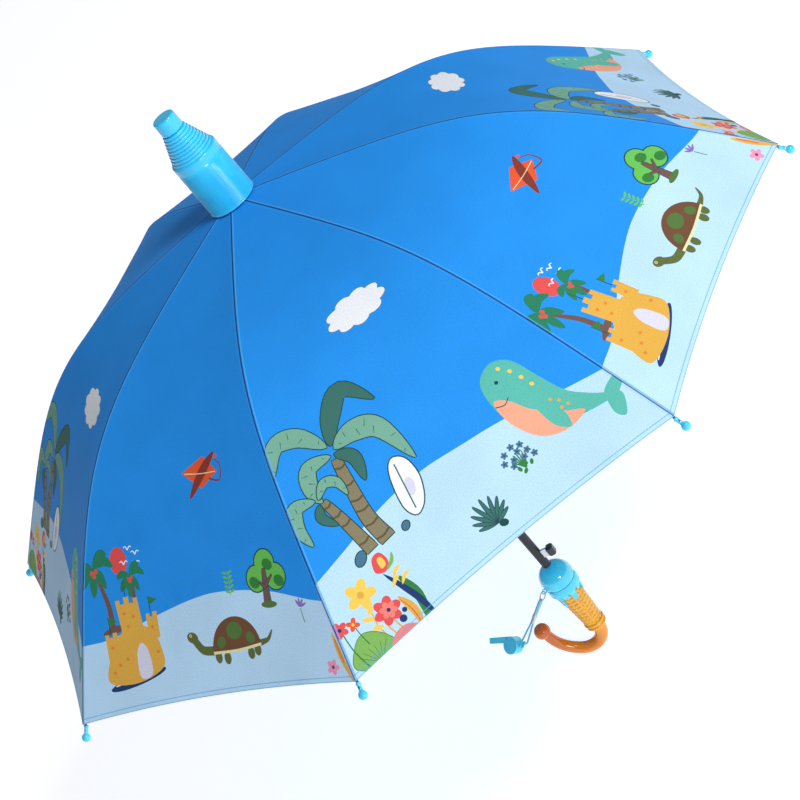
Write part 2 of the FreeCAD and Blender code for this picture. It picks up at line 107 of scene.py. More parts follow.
def linear(rgb):
    """An sRGB colour of 0 to 255 as the linear RGBA that sockets take."""
    out = []
    for c in rgb:
        c /= 255
        out.append(c / 12.92 if c <= 0.04045 else ((c + 0.055) / 1.055) ** 2.4)
    return (*out, 1.0)


def add(tree, kind, inputs=None, **settings):
    node = tree.nodes.new(kind)
    for key, value in settings.items():
        setattr(node, key, value)
    for key, value in (inputs or {}).items():
        socket = node.inputs[key]
        if isinstance(value, bpy.types.NodeSocket):
            tree.links.new(value, socket)
        else:
            socket.default_value = value
    return node


def math_node(tree, operation, a, b=0.0, clamp=False):
    return add(tree, "ShaderNodeMath", {0: a, 1: b}, operation=operation, use_clamp=clamp).outputs[0]


def mix_colour(tree, factor, a, b, blend="MIX"):
    node = add(tree, "ShaderNodeMix", {0: factor, 6: a, 7: b}, data_type="RGBA", blend_type=blend)
    return node.outputs[2]


def noise(tree, vector, scale, detail=2.0, roughness=0.5):
    values = {"Vector": vector, "Scale": scale, "Detail": detail, "Roughness": roughness}
    return add(tree, "ShaderNodeTexNoise", values).outputs[0]


def ramp(tree, value, low, high, out_low=0.0, out_high=1.0):
    values = {0: value, 1: low, 2: high, 3: out_low, 4: out_high}
    return add(tree, "ShaderNodeMapRange", values).outputs[0]


def new_group(name, inputs, outputs):
    """A shader node group with named sockets, and its two end nodes."""
    tree = bpy.data.node_groups.new(name, "ShaderNodeTree")
    for label, kind, value in inputs:
        socket = tree.interface.new_socket(name=label, in_out="INPUT", socket_type=kind)
        socket.default_value = value
    for label, kind in outputs:
        tree.interface.new_socket(name=label, in_out="OUTPUT", socket_type=kind)
    start = tree.nodes.new("NodeGroupInput")
    end = tree.nodes.new("NodeGroupOutput")
    return tree, start.outputs, end.inputs


COLOUR = "NodeSocketColor"
FLOAT = "NodeSocketFloat"


def make_moulded_group():
    """Moulded plastic: cloudy colour, faint flow marks and handling scuffs."""
    tree, given, out = new_group(
        "Moulded plastic",
        [("Colour", COLOUR, (0.5, 0.5, 0.5, 1)), ("Deep colour", COLOUR, (0.3, 0.3, 0.3, 1)),
         ("Cloud size", FLOAT, 60.0), ("Gloss", FLOAT, 0.2)],
        [("Colour", COLOUR), ("Roughness", FLOAT), ("Height", FLOAT)])
    place = add(tree, "ShaderNodeTexCoord").outputs["Object"]
    cloud = noise(tree, place, given["Cloud size"], 3.0)
    cloud = ramp(tree, cloud, 0.35, 0.7)
    tree.links.new(mix_colour(tree, cloud, given["Colour"], given["Deep colour"]), out["Colour"])
    scuff = noise(tree, place, 900.0, 4.0, 0.7)
    marks = math_node(tree, "MULTIPLY", ramp(tree, scuff, 0.58, 0.75), 0.14)
    tree.links.new(math_node(tree, "ADD", given["Gloss"], marks, True), out["Roughness"])
    flow = noise(tree, place, 420.0, 2.0)
    tree.links.new(flow, out["Height"])
    return tree


def make_painted_group():
    """Paint on folded steel: fine orange peel, worn to metal along the edges."""
    tree, given, out = new_group(
        "Painted steel",
        [("Paint", COLOUR, (0.02, 0.02, 0.02, 1)), ("Metal", COLOUR, (0.5, 0.5, 0.5, 1)),
         ("Wear", FLOAT, 0.5)],
        [("Colour", COLOUR), ("Roughness", FLOAT), ("Metallic", FLOAT), ("Height", FLOAT)])
    place = add(tree, "ShaderNodeTexCoord").outputs["Object"]
    edge = ramp(tree, add(tree, "ShaderNodeNewGeometry").outputs["Pointiness"], 0.52, 0.62)
    broken = ramp(tree, noise(tree, place, 700.0, 4.0, 0.65), 0.42, 0.6)
    mask = math_node(tree, "MULTIPLY", math_node(tree, "MULTIPLY", edge, broken), given["Wear"], True)
    tree.links.new(mix_colour(tree, mask, given["Paint"], given["Metal"]), out["Colour"])
    tree.links.new(mask, out["Metallic"])
    peel = noise(tree, place, 1500.0, 2.0)
    tree.links.new(ramp(tree, peel, 0.3, 0.7, 0.3, 0.42), out["Roughness"])
    tree.links.new(peel, out["Height"])
    return tree


def make_pongee_group():
    """Printed pongee: plain weave, slubs, cockling beside the seams and the stitched hem; painted shade in
    the crease at each rib and a painted highlight on the seam ridge.
    """
    tree, given, out = new_group(
        "Printed pongee",
        [("Print", COLOUR, (0.1, 0.3, 0.7, 1)), ("Seam crease shade", COLOUR, (0.01, 0.02, 0.12, 1)),
         ("Seam ridge highlight", COLOUR, (0.2, 0.5, 0.9, 1)), ("Stitch", COLOUR, (0.15, 0.5, 0.8, 1)),
         ("To rib", FLOAT, 50.0), ("To hem", FLOAT, 50.0), ("Side", FLOAT, 1.0)],
        [("Colour", COLOUR), ("Roughness", FLOAT), ("Height", FLOAT)])
    cloth = add(tree, "ShaderNodeUVMap", uv_map="Cloth").outputs[0]
    parts = add(tree, "ShaderNodeSeparateXYZ", {0: cloth}).outputs
    # fine speckle of the yarns, and slow clouds in the dye
    speckle = noise(tree, cloth, 950.0, 3.0, 0.75)
    cloud = noise(tree, cloth, 14.0, 3.0)
    brightness = math_node(tree, "ADD", ramp(tree, speckle, 0.25, 0.75, 0.78, 1.22),
                           ramp(tree, cloud, 0.3, 0.7, -0.05, 0.05))
    grey = add(tree, "ShaderNodeCombineXYZ", {0: brightness, 1: brightness, 2: brightness}).outputs[0]
    dyed = mix_colour(tree, 1.0, given["Print"], grey, "MULTIPLY")
    # seam along the rib: a dark line of painted shade in the crease at the rib, and a raised ridge on one
    # side lightened with a painted highlight
    line = ramp(tree, given["To rib"], 0.45, 0.9, 1.0, 0.0)
    ridge_in = ramp(tree, given["To rib"], 0.9, 1.2)
    ridge_out = ramp(tree, given["To rib"], 2.2, 2.6, 1.0, 0.0)
    ridge = math_node(tree, "MULTIPLY", math_node(tree, "MULTIPLY", ridge_in, ridge_out), given["Side"])
    # painted highlight: the band along the raised ridge is lightened
    dyed = mix_colour(tree, math_node(tree, "MULTIPLY", ridge, 0.75), dyed, given["Seam ridge highlight"])
    # painted shade: the dark line in the crease at the rib
    dyed = mix_colour(tree, math_node(tree, "MULTIPLY", line, 0.85), dyed, given["Seam crease shade"])
    # hem: a rolled edge and one row of stitches
    pitch = math_node(tree, "FRACT", math_node(tree, "MULTIPLY", parts[0], 1 / 0.0028))
    dash = ramp(tree, pitch, 0.68, 0.74, 1.0, 0.0)
    row_in = ramp(tree, given["To hem"], 3.7, 3.9)
    row_out = ramp(tree, given["To hem"], 4.5, 4.7, 1.0, 0.0)
    row = math_node(tree, "MULTIPLY", row_in, row_out)
    stitch = math_node(tree, "MULTIPLY", row, dash)
    roll = ramp(tree, given["To hem"], 0.7, 1.1, 1.0, 0.0)
    edge = math_node(tree, "MAXIMUM", math_node(tree, "MULTIPLY", roll, 0.6),
                     math_node(tree, "ADD", math_node(tree, "MULTIPLY", row, 0.35),
                               math_node(tree, "MULTIPLY", stitch, 0.45)), True)
    tree.links.new(mix_colour(tree, edge, dyed, given["Stitch"]), out["Colour"])
    # height: weave, slubs, stitches pulled in, puckers that fade out from the seams and hem
    warp = math_node(tree, "SINE", math_node(tree, "MULTIPLY", parts[0], 2 * math.pi / 0.0006))
    weft = math_node(tree, "SINE", math_node(tree, "MULTIPLY", parts[1], 2 * math.pi / 0.0006))
    weave = math_node(tree, "MULTIPLY", math_node(tree, "MULTIPLY", warp, weft), 0.02)
    near_rib = ramp(tree, given["To rib"], 1.0, 20.0, 1.0, 0.0)
    near_hem = ramp(tree, given["To hem"], 2.0, 26.0, 1.0, 0.0)
    stretched = add(tree, "ShaderNodeMapping", {0: cloth, 3: (18.0, 95.0, 1.0)}).outputs[0]
    pucker = math_node(tree, "MULTIPLY", noise(tree, stretched, 1.0, 2.0), near_rib)
    stretched = add(tree, "ShaderNodeMapping", {0: cloth, 3: (95.0, 14.0, 1.0)}).outputs[0]
    ripple = math_node(tree, "MULTIPLY", noise(tree, stretched, 1.0, 2.0), near_hem)
    height = math_node(tree, "ADD", weave, math_node(tree, "MULTIPLY", pucker, 0.55))
    height = math_node(tree, "ADD", height, math_node(tree, "MULTIPLY", ripple, 0.6))
    height = math_node(tree, "ADD", height, math_node(tree, "MULTIPLY", ridge, 0.35))
    height = math_node(tree, "SUBTRACT", height, math_node(tree, "MULTIPLY", line, 0.3))
    height = math_node(tree, "SUBTRACT", height, math_node(tree, "MULTIPLY", row, 0.3))
    height = math_node(tree, "ADD", height, math_node(tree, "MULTIPLY", stitch, 0.35))
    tree.links.new(height, out["Height"])
    tree.links.new(ramp(tree, speckle, 0.3, 0.7, 0.56, 0.7), out["Roughness"])
    return tree


MOULDED = make_moulded_group()
PAINTED = make_painted_group()
PONGEE = make_pongee_group()


def new_material(name):
    material = bpy.data.materials.new(name)
    material.use_nodes = True
    tree = material.node_tree
    shader = tree.nodes["Principled BSDF"]
    return material, tree, shader


def place_group(tree, group, values):
    return add(tree, "ShaderNodeGroup", values, node_tree=group).outputs


def dress(tree, shader, colour, roughness, height, distance):
    """Gives the shader its colour, its roughness and a bump this deep, in metres."""
    tree.links.new(colour, shader.inputs["Base Color"])
    tree.links.new(roughness, shader.inputs["Roughness"])
    bump = add(tree, "ShaderNodeBump", {"Height": height, "Distance": distance})
    tree.links.new(bump.outputs[0], shader.inputs["Normal"])


def make_glossy(shader, coat, subsurface, depth):
    """A clear skin over plastic that light enters a little."""
    shader.inputs["Coat Weight"].default_value = coat
    shader.inputs["Coat Roughness"].default_value = 0.05
    shader.inputs["Subsurface Weight"].default_value = subsurface
    shader.inputs["Subsurface Scale"].default_value = depth


def moulded(name, colour, deep, gloss=0.2, coat=0.0, cloud=60.0, subsurface=0.0, bump=0.00002):
    material, tree, shader = new_material(name)
    skin = place_group(tree, MOULDED, {"Colour": linear(colour), "Deep colour": linear(deep),
                                       "Cloud size": cloud, "Gloss": gloss})
    dress(tree, shader, skin["Colour"], skin["Roughness"], skin["Height"], bump)
    make_glossy(shader, coat, subsurface, 0.004)
    return material


def painted(name, paint, metal, wear):
    material, tree, shader = new_material(name)
    coat = place_group(tree, PAINTED, {"Paint": linear(paint), "Metal": linear(metal), "Wear": wear})
    dress(tree, shader, coat["Colour"], coat["Roughness"], coat["Height"], 0.00001)
    tree.links.new(coat["Metallic"], shader.inputs["Metallic"])
    return material


def make_pongee():
    material, tree, shader = new_material("Printed pongee canopy")
    # seam colours: painted shade in the crease at the rib, and a painted highlight on the ridge beside it
    values = {"Seam crease shade": linear((18, 34, 96)), "Seam ridge highlight": linear((86, 170, 240)),
              "Stitch": linear((84, 170, 222))}
    for socket, attribute in (("To rib", "to_rib"), ("To hem", "to_hem"), ("Side", "seam_side")):
        node = add(tree, "ShaderNodeAttribute", attribute_name=attribute)
        values[socket] = node.outputs["Fac"]
    values["Print"] = add(tree, "ShaderNodeAttribute", attribute_name="print").outputs["Color"]
    cloth = place_group(tree, PONGEE, values)
    dress(tree, shader, cloth["Colour"], cloth["Roughness"], cloth["Height"], 0.0006)
    shader.inputs["Specular IOR Level"].default_value = 0.1
    return material


def make_braid():
    """Braided cord: two crossing sets of light and white strands."""
    material, tree, shader = new_material("Braided lanyard cord")
    place = add(tree, "ShaderNodeUVMap", uv_map="Cord").outputs[0]
    parts = add(tree, "ShaderNodeSeparateXYZ", {0: place}).outputs
    waves = []
    for sign in (1, -1):
        turn = math_node(tree, "MULTIPLY", parts[0], 4 * 2 * math.pi * sign)
        along = math_node(tree, "MULTIPLY", parts[1], 2 * math.pi / 0.0022)
        waves.append(math_node(tree, "SINE", math_node(tree, "ADD", turn, along)))
    crossing = math_node(tree, "MULTIPLY", waves[0], waves[1])
    mask = ramp(tree, crossing, -0.5, 0.5)
    colour = mix_colour(tree, mask, linear((84, 190, 214)), linear((214, 240, 246)))
    dress(tree, shader, colour, ramp(tree, crossing, -1.0, 1.0, 0.75, 0.6), crossing, 0.0002)
    return material


def make_caramel():
    """Crook plastic that deepens from gold at the collar to caramel at the ball."""
    material, tree, shader = new_material("Caramel crook")
    place = add(tree, "ShaderNodeUVMap", uv_map="Crook").outputs[0]
    along = add(tree, "ShaderNodeSeparateXYZ", {0: place}).outputs[1]
    skin = place_group(tree, MOULDED, {"Colour": linear((236, 132, 12)), "Deep colour": linear((222, 114, 8)),
                                       "Cloud size": 30.0, "Gloss": 0.1})
    gold = mix_colour(tree, ramp(tree, along, 0.004, 0.03), linear((250, 172, 14)), skin["Colour"])
    deep = mix_colour(tree, ramp(tree, along, 0.055, 0.1), gold, linear((214, 98, 4)))
    dress(tree, shader, deep, skin["Roughness"], skin["Height"], 0.00002)
    make_glossy(shader, 0.5, 0.06, 0.003)
    return material


def make_loop_cord():
    """Thin twisted cord."""
    material, tree, shader = new_material("Twisted loop cord")
    place = add(tree, "ShaderNodeTexCoord").outputs["Object"]
    slant = add(tree, "ShaderNodeVectorMath", {0: place, 1: (0.9, 0.55, 2.4)}, operation="DOT_PRODUCT")
    turns = math_node(tree, "MULTIPLY", slant.outputs["Value"], 2 * math.pi / 0.0012)
    strands = math_node(tree, "SINE", turns)
    colour = mix_colour(tree, ramp(tree, strands, -1.0, 1.0), linear((92, 192, 220)), linear((168, 224, 238)))
    dress(tree, shader, colour, ramp(tree, strands, -1.0, 1.0, 0.75, 0.6), strands, 0.0001)
    return material


def make_crimp():
    material, tree, shader = new_material("Brushed crimp sleeve")
    place = add(tree, "ShaderNodeTexCoord").outputs["Object"]
    stretched = add(tree, "ShaderNodeMapping", {0: place, 3: (900.0, 900.0, 160.0)}).outputs[0]
    streaks = noise(tree, stretched, 1.0)
    colour = mix_colour(tree, streaks, linear((226, 228, 230)), linear((176, 180, 184)))
    dress(tree, shader, colour, ramp(tree, streaks, 0.3, 0.7, 0.25, 0.42), streaks, 0.00003)
    shader.inputs["Metallic"].default_value = 0.6
    return material


def make_fibre():
    """Glass-fibre rod: resin with long pale fibres showing through."""
    material, tree, shader = new_material("Glass-fibre rod")
    place = add(tree, "ShaderNodeTexCoord").outputs["Object"]
    stretched = add(tree, "ShaderNodeMapping", {0: place, 3: (260.0, 260.0, 2600.0)}).outputs[0]
    fibres = noise(tree, stretched, 1.0, 3.0)
    colour = mix_colour(tree, ramp(tree, fibres, 0.3, 0.7), linear((28, 29, 33)), linear((62, 64, 70)))
    dress(tree, shader, colour, ramp(tree, fibres, 0.3, 0.7, 0.3, 0.5), fibres, 0.00003)
    return material


FINISHES = {
    "canopy": make_pongee(),
    "cover": moulded("Sky blue cover sleeve", (50, 204, 250), (34, 188, 244), 0.24, 0.3, 40.0, 0.15),
    "scoop": moulded("Sky blue scoop", (72, 222, 244), (54, 206, 238), 0.1, 0.8, 50.0, 0.15),
    "cone": moulded("Golden waffle cone", (248, 178, 14), (240, 158, 10), 0.14, 0.5, 70.0, 0.06),
    "hook": make_caramel(),
    "loop": make_loop_cord(),
    "tip": moulded("Sky blue tip", (74, 208, 242), (58, 192, 236), 0.16, 0.4, 120.0, 0.1),
    "whistle": moulded("Sky blue whistle", (92, 222, 240), (72, 206, 234), 0.16, 0.5, 90.0, 0.2),
    "button": moulded("Black button", (12, 13, 16), (8, 8, 10), 0.18, 0.4, 200.0),
    "stalk": moulded("White button stalk", (236, 238, 240), (220, 224, 228), 0.3, 0.0, 150.0),
    "hub": moulded("Black hub plastic", (30, 31, 34), (20, 21, 24), 0.38, 0.0, 120.0, 0.0, 0.00004),
    "shaft": painted("Black shaft paint", (10, 11, 14), (90, 92, 96), 0.15),
    "rib": painted("Black rib paint", (30, 31, 34), (150, 152, 156), 0.8),
    "chrome": painted("Plated wire", (200, 202, 206), (120, 122, 126), 0.3),
    "steel": painted("Bright steel rod", (168, 170, 174), (210, 212, 214), 0.6),
    "rod": make_fibre(),
    "braid": make_braid(),
    "crimp": make_crimp(),
}


def paint_node(node, finish):
    """Gives a carried-over CAD node its finish."""
    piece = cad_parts[node]
    piece.data.materials.clear()
    piece.data.materials.append(FINISHES[finish])


# ---------------------------------------------------------------- camera, floor and light

def make_camera():
    right = Vector((0.81615, 0.03318, -0.57689))
    up = Vector((0.44954, 0.59081, 0.66997))
    back = Vector((0.36306, -0.80613, 0.46727))
    data = bpy.data.cameras.new("Camera")
    data.sensor_width = 36.0
    data.lens = 110.8
    data.clip_start = 0.1
    data.clip_end = 50.0
    camera = bpy.data.objects.new("Camera", data)
    placing = Matrix((right, up, back)).transposed().to_4x4()
    placing.translation = Vector((0.8211, -1.8320, 1.4207))
    camera.matrix_world = placing
    bpy.context.scene.collection.objects.link(camera)
    bpy.context.scene.camera = camera


def make_floor():
    mesh = bpy.data.meshes.new("floor")
    size = 9.0
    corners = [(-size, -size, 0), (size, -size, 0), (size, size, 0), (-size, size, 0)]
    mesh.from_pydata(corners, [], [(0, 1, 2, 3)])
    floor = bpy.data.objects.new("floor", mesh)
    material, tree, shader = new_material("Pale studio floor")
    place = add(tree, "ShaderNodeTexCoord").outputs["Object"]
    mottle = noise(tree, place, 2.0, 2.0)
    colour = mix_colour(tree, mottle, (0.94, 0.94, 0.945, 1), (0.96, 0.96, 0.96, 1))
    tree.links.new(colour, shader.inputs["Base Color"])
    shader.inputs["Roughness"].default_value = 0.9
    shader.inputs["Emission Color"].default_value = (1, 1, 1, 1)
    shader.inputs["Emission Strength"].default_value = 0.68
    mesh.materials.append(material)
    bpy.context.scene.collection.objects.link(floor)


def make_light(name, azimuth, elevation, distance, size, power):
    """A square soft box that looks at the middle of the canopy."""
    data = bpy.data.lights.new(name, "AREA")
    data.size = size
    data.energy = power
    light = bpy.data.objects.new(name, data)
    a = math.radians(azimuth)
    e = math.radians(elevation)
    aim = Vector((0, 0, 0.4))
    offset = Vector((math.cos(e) * math.cos(a), math.cos(e) * math.sin(a), math.sin(e))) * distance
    light.location = aim + offset
    light.rotation_euler = (-offset).to_track_quat("-Z", "Y").to_euler()
    bpy.context.scene.collection.objects.link(light)


def make_lights():
    make_light("key", 332, 44, 3.2, 0.9, 58)
    make_light("front fill", 304, 8, 3.4, 0.8, 26)
    world = bpy.data.worlds.new("Studio")
    world.use_nodes = True
    world.node_tree.nodes["Background"].inputs[0].default_value = (0.92, 0.95, 1.0, 1)
    world.node_tree.nodes["Background"].inputs[1].default_value = 0.26
    bpy.context.scene.world = world
    bpy.context.scene.view_settings.view_transform = "Standard"


make_camera()
make_floor()
make_lights()


# ---------------------------------------------------------------- mesh helpers

def link_mesh(name, vertices, faces, material, body, slot):
    """A mesh piece in millimetres, given its finish and the body it rides on."""
    mesh = bpy.data.meshes.new(name)
    mesh.from_pydata([Vector(v) * MM for v in vertices], [], faces)
    mesh.update()
    for face in mesh.polygons:
        face.use_smooth = True
    piece = bpy.data.objects.new(name, mesh)
    bpy.context.scene.collection.objects.link(piece)
    mesh.materials.append(material)
    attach(piece, body)
    return piece


def grid_faces(rows, columns):
    """Quads between closed rings of points, one ring after another."""
    faces = []
    for j in range(rows - 1):
        for i in range(columns):
            k = (i + 1) % columns
            faces.append((j * columns + i, j * columns + k, (j + 1) * columns + k, (j + 1) * columns + i))
    return faces


@contextmanager
def editing(piece):
    """The piece's mesh as a bmesh, written back at the end."""
    work = bmesh.new()
    work.from_mesh(piece.data)
    yield work
    work.to_mesh(piece.data)
    work.free()


def outward(piece):
    """Turns every face of a closed piece outward."""
    with editing(piece) as work:
        bmesh.ops.recalc_face_normals(work, faces=work.faces)


def crisp_edges(piece, degrees):
    """Sharp edges where two faces meet at more than this angle, smooth elsewhere."""
    limit = math.radians(degrees)
    with editing(piece) as work:
        for edge in work.edges:
            edge.smooth = len(edge.link_faces) != 2 or edge.calc_face_angle(0) < limit
    return piece


def arc(cx, cy, r, start, end, count=6):
    """Points round an arc, angles in degrees from the first axis."""
    out = []
    for k in range(count + 1):
        a = math.radians(start + (end - start) * k / count)
        out.append((cx + r * math.cos(a), cy + r * math.sin(a)))
    return out


def turned(name, outline, material, body, slot, count=96, origin=Vector(), axis=Vector((0, 0, 1)), sharp=35):
    """A closed turned piece. Its (radius, height) outline starts and ends on the axis, or joins up."""
    across = axis.orthogonal().normalized()
    other = axis.cross(across)
    vertices = []
    for r, h in outline:
        for i in range(count):
            a = 2 * math.pi * i / count
            vertices.append(origin + axis * h + (across * math.cos(a) + other * math.sin(a)) * max(r, 0.0))
    faces = grid_faces(len(outline), count)
    joins_up = outline[0][0] > 0.001
    if joins_up:
        top = (len(outline) - 1) * count
        for i in range(count):
            k = (i + 1) % count
            faces.append((top + i, top + k, k, i))
    piece = link_mesh(name, vertices, faces, material, body, slot)
    with editing(piece) as work:
        bmesh.ops.remove_doubles(work, verts=work.verts, dist=1e-7)
        bmesh.ops.dissolve_degenerate(work, edges=work.edges, dist=1e-8)
        bmesh.ops.recalc_face_normals(work, faces=work.faces)
    return crisp_edges(piece, sharp)


def swept(name, path, radii, material, body, slot, sides, uv=None):
    """A round tube through a list of points, with a radius for each and flat ends."""
    vertices = []
    tangent = (path[1] - path[0]).normalized()
    across = tangent.orthogonal().normalized()
    lengths = [0.0]
    for k, point in enumerate(path):
        ahead = path[min(k + 1, len(path) - 1)]
        behind = path[max(k - 1, 0)]
        tangent = (ahead - behind).normalized()
        across = (across - tangent * across.dot(tangent)).normalized()
        other = tangent.cross(across)
        for i in range(sides):
            a = 2 * math.pi * i / sides
            vertices.append(point + (across * math.cos(a) + other * math.sin(a)) * radii[k])
        if k:
            lengths.append(lengths[-1] + (point - path[k - 1]).length)
    faces = grid_faces(len(path), sides)
    faces.append(tuple(range(sides)))
    faces.append(tuple((len(path) - 1) * sides + i for i in range(sides)))
    piece = link_mesh(name, vertices, faces, material, body, slot)
    if uv:
        layer = piece.data.uv_layers.new(name=uv)
        for face in piece.data.polygons:
            columns = [v % sides for v in face.vertices]
            wraps = max(columns) - min(columns) > sides / 2
            for loop, v, column in zip(face.loop_indices, face.vertices, columns):
                turn = column / sides + (1.0 if wraps and column < sides / 2 else 0.0)
                layer.data[loop].uv = (turn, lengths[v // sides] * MM)
    outward(piece)
    return crisp_edges(piece, 50)


# ---------------------------------------------------------------- the print

SEA_BLUE = (38, 146, 236)
PRINT = {
    "ground": SEA_BLUE, "sand": (186, 222, 250), "white": (240, 244, 250), "ink": (40, 66, 84),
    "sage": (118, 172, 152), "pine": (60, 112, 104), "deep pine": (34, 76, 72), "bark": (134, 126, 98),
    "dark bark": (96, 86, 66), "slate": (72, 116, 142), "teal": (92, 186, 172), "peach": (238, 168, 138),
    "butter": (246, 204, 92), "leaf": (126, 178, 92), "moss": (84, 118, 62), "olive": (96, 108, 62),
    "cocoa": (112, 78, 56), "cream": (226, 224, 170), "red": (226, 84, 84), "rose": (236, 130, 120),
    "brick": (140, 60, 48), "coral": (232, 92, 56), "navy": (36, 62, 112), "gold": (222, 172, 74),
    "amber": (226, 132, 62), "lilac": (214, 214, 236), "violet": (136, 110, 190), "pink": (236, 150, 190),
    "apple": (104, 190, 88), "dark apple": (56, 128, 62), "palm": (44, 128, 96), "trunk": (112, 86, 78),
}


def curve_between(p0, p1, p2, p3, per):
    """Points of the smooth curve from p1 up to p2, with p0 before it and p3 after it."""
    out = []
    for k in range(per):
        t = k / per
        out.append(tuple(0.5 * (2 * b + (c - a) * t + (2 * a - 5 * b + 4 * c - d) * t * t
                                + (3 * b - a - 3 * c + d) * t ** 3)
                         for a, b, c, d in zip(p0, p1, p2, p3)))
    return out


def smooth_loop(points, per=5):
    """Closed smooth curve through a few points."""
    out = []
    n = len(points)
    for i in range(n):
        out += curve_between(*(points[(i + k) % n] for k in (-1, 0, 1, 2)), per)
    return out


def smooth_run(points, per=5):
    """Open smooth curve through a few points."""
    points = [points[0], *points, points[-1]]
    out = []
    for i in range(1, len(points) - 2):
        out += curve_between(*points[i - 1:i + 3], per)
    out.append(tuple(points[-1]))
    return out


def oval(x, y, rx, ry, turn=0.0, count=18):
    c = math.cos(math.radians(turn))
    s = math.sin(math.radians(turn))
    out = []
    for k in range(count):
        a = 2 * math.pi * k / count
        u = rx * math.cos(a)
        v = ry * math.sin(a)
        out.append((x + u * c - v * s, y + u * s + v * c))
    return out


def normal(a, b):
    """Unit vector square to the line from a to b."""
    d = math.hypot(b[0] - a[0], b[1] - a[1]) or 1.0
    return -(b[1] - a[1]) / d, (b[0] - a[0]) / d


def strip(line, half_at):
    """Outline round a line; half_at gives its half width at a share of the line's points."""
    left = []
    right = []
    last = len(line) - 1
    for k, p in enumerate(line):
        nx, ny = normal(line[max(k - 1, 0)], line[min(k + 1, last)])
        w = half_at(k / last)
        left.append((p[0] + nx * w, p[1] + ny * w))
        right.append((p[0] - nx * w, p[1] - ny * w))
    return left + right[::-1]


def ribbon(points, start, end, per=5):
    """Tapered strip along a smooth line."""
    return strip(smooth_run(points, per), lambda t: (start + (end - start) * t) / 2)


def blade(points, width, per=5, skew=0.0):
    """Leaf along a smooth line: pointed at both ends."""
    def half_at(t):
        return width / 2 * max(0.04, math.sin(math.pi * t ** (1 - skew)) ** 0.8)

    return strip(smooth_run(points, per), half_at)


def signed_area(outline):
    total = 0.0
    for (x0, y0), (x1, y1) in zip(outline, outline[1:] + outline[:1]):
        total += x0 * y1 - x1 * y0
    return total / 2


def grown(outline, by):
    """The outline moved out by this many millimetres."""
    if signed_area(outline) > 0:
        by = -by
    out = []
    for k, (x, y) in enumerate(outline):
        nx, ny = normal(outline[k - 1], outline[(k + 1) % len(outline)])
        out.append((x + nx * by, y + ny * by))
    return out


def inked(colour, outline, line="deep pine", by=0.9):
    return [(line, grown(outline, by)), (colour, outline)]


def frond(points, width, colour, veins=6):
    """Palm leaf with an inked edge and short veins."""
    shapes = inked(colour, blade(points, width, 6, 0.1))
    line = smooth_run(points, 6)
    for k in range(1, veins + 1):
        i = int(len(line) * k / (veins + 1))
        x, y = line[i]
        nx, ny = normal(line[i - 1], line[i])
        reach = width * 0.36 * math.sin(math.pi * k / (veins + 1)) * (1 if k % 2 else -1)
        end = (x + nx * reach + 1.5 * ny, y + ny * reach - 1.5 * nx)
        shapes.append(("pine", ribbon([(x, y), end], 0.9, 0.4, 2)))
    return shapes


def ringed_trunk(points, start, end, rings):
    shapes = inked("bark", ribbon(points, start, end, 6))
    line = smooth_run(points, 6)
    for k in range(1, rings + 1):
        i = int(len(line) * k / (rings + 1))
        x, y = line[i]
        w = (start + (end - start) * i / len(line)) / 2
        nx, ny = normal(line[i - 1], line[i])
        ring = [(x + nx * w, y + ny * w), (x, y + 1.6), (x - nx * w, y - ny * w)]
        shapes.append(("dark bark", ribbon(ring, 1.8, 1.8, 3)))
    return shapes


def dots(colour, spots, rx, ry, turn=0, count=10):
    """The same oval at each spot."""
    return [(colour, oval(x, y, rx, ry, turn, count)) for x, y in spots]


def flower(x, y, r, petals, colour, heart, turn=0.0):
    shapes = []
    for k in range(petals):
        a = math.radians(turn + 360 / petals * k)
        shapes.append((colour, oval(x + r * 0.55 * math.cos(a), y + r * 0.55 * math.sin(a),
                                    r * 0.52, r * 0.36, math.degrees(a), 14)))
    shapes.append((heart, oval(x, y, r * 0.24, r * 0.24, 0, 10)))
    return shapes


def cloud(x, y):
    """Puffy cloud: a ring of round lobes with a thin grey outline."""
    lobes = 9
    outline = []
    for k in range(90):
        a = 2 * math.pi * k / 90
        lobe = abs(math.sin(lobes * a / 2 + 0.4)) ** 0.7
        r = 0.83 + 0.2 * lobe + 0.05 * math.sin(2 * a + 0.6)
        outline.append((x + 27 * r * math.cos(a), y + 17 * r * math.sin(a)))
    return [("slate", grown(outline, 0.5)), ("white", outline)]


def whale():
    """A plain whale diving across the band, with a pale belly and a few spots."""
    body = smooth_loop([(58, 368), (63, 352), (78, 346), (92, 356), (101, 381), (110, 404), (124, 420),
                        (140, 434), (122, 432), (104, 428), (86, 428), (70, 416), (60, 394)], 6)
    belly = smooth_loop([(60, 374), (70, 380), (80, 398), (98, 416), (112, 427), (92, 430), (72, 420),
                         (60, 396)], 6)
    fin = smooth_loop([(84, 398), (98, 414), (96, 430), (86, 420)], 5)
    flukes = [smooth_loop([(132, 426), (146, 420), (154, 424), (144, 432), (136, 436)], 4),
              smooth_loop([(132, 428), (128, 444), (134, 452), (141, 442), (142, 434)], 4)]
    shapes = [("teal", f) for f in flukes] + [("teal", body), ("peach", belly), ("teal", fin)]
    shapes += dots("butter", ((80, 354), (86, 362), (90, 372), (93, 382)), 2.0, 1.6, 60)
    shapes += dots("gold", ((96, 402), (101, 407), (99, 413), (105, 414)), 1.5, 1.5, 0, 8)
    shapes.append(("ink", oval(72, 362, 1.7, 1.7, 0, 8)))
    shapes.append(("ink", ribbon([(59, 378), (66, 381), (72, 378)], 0.9, 0.7, 4)))
    return shapes


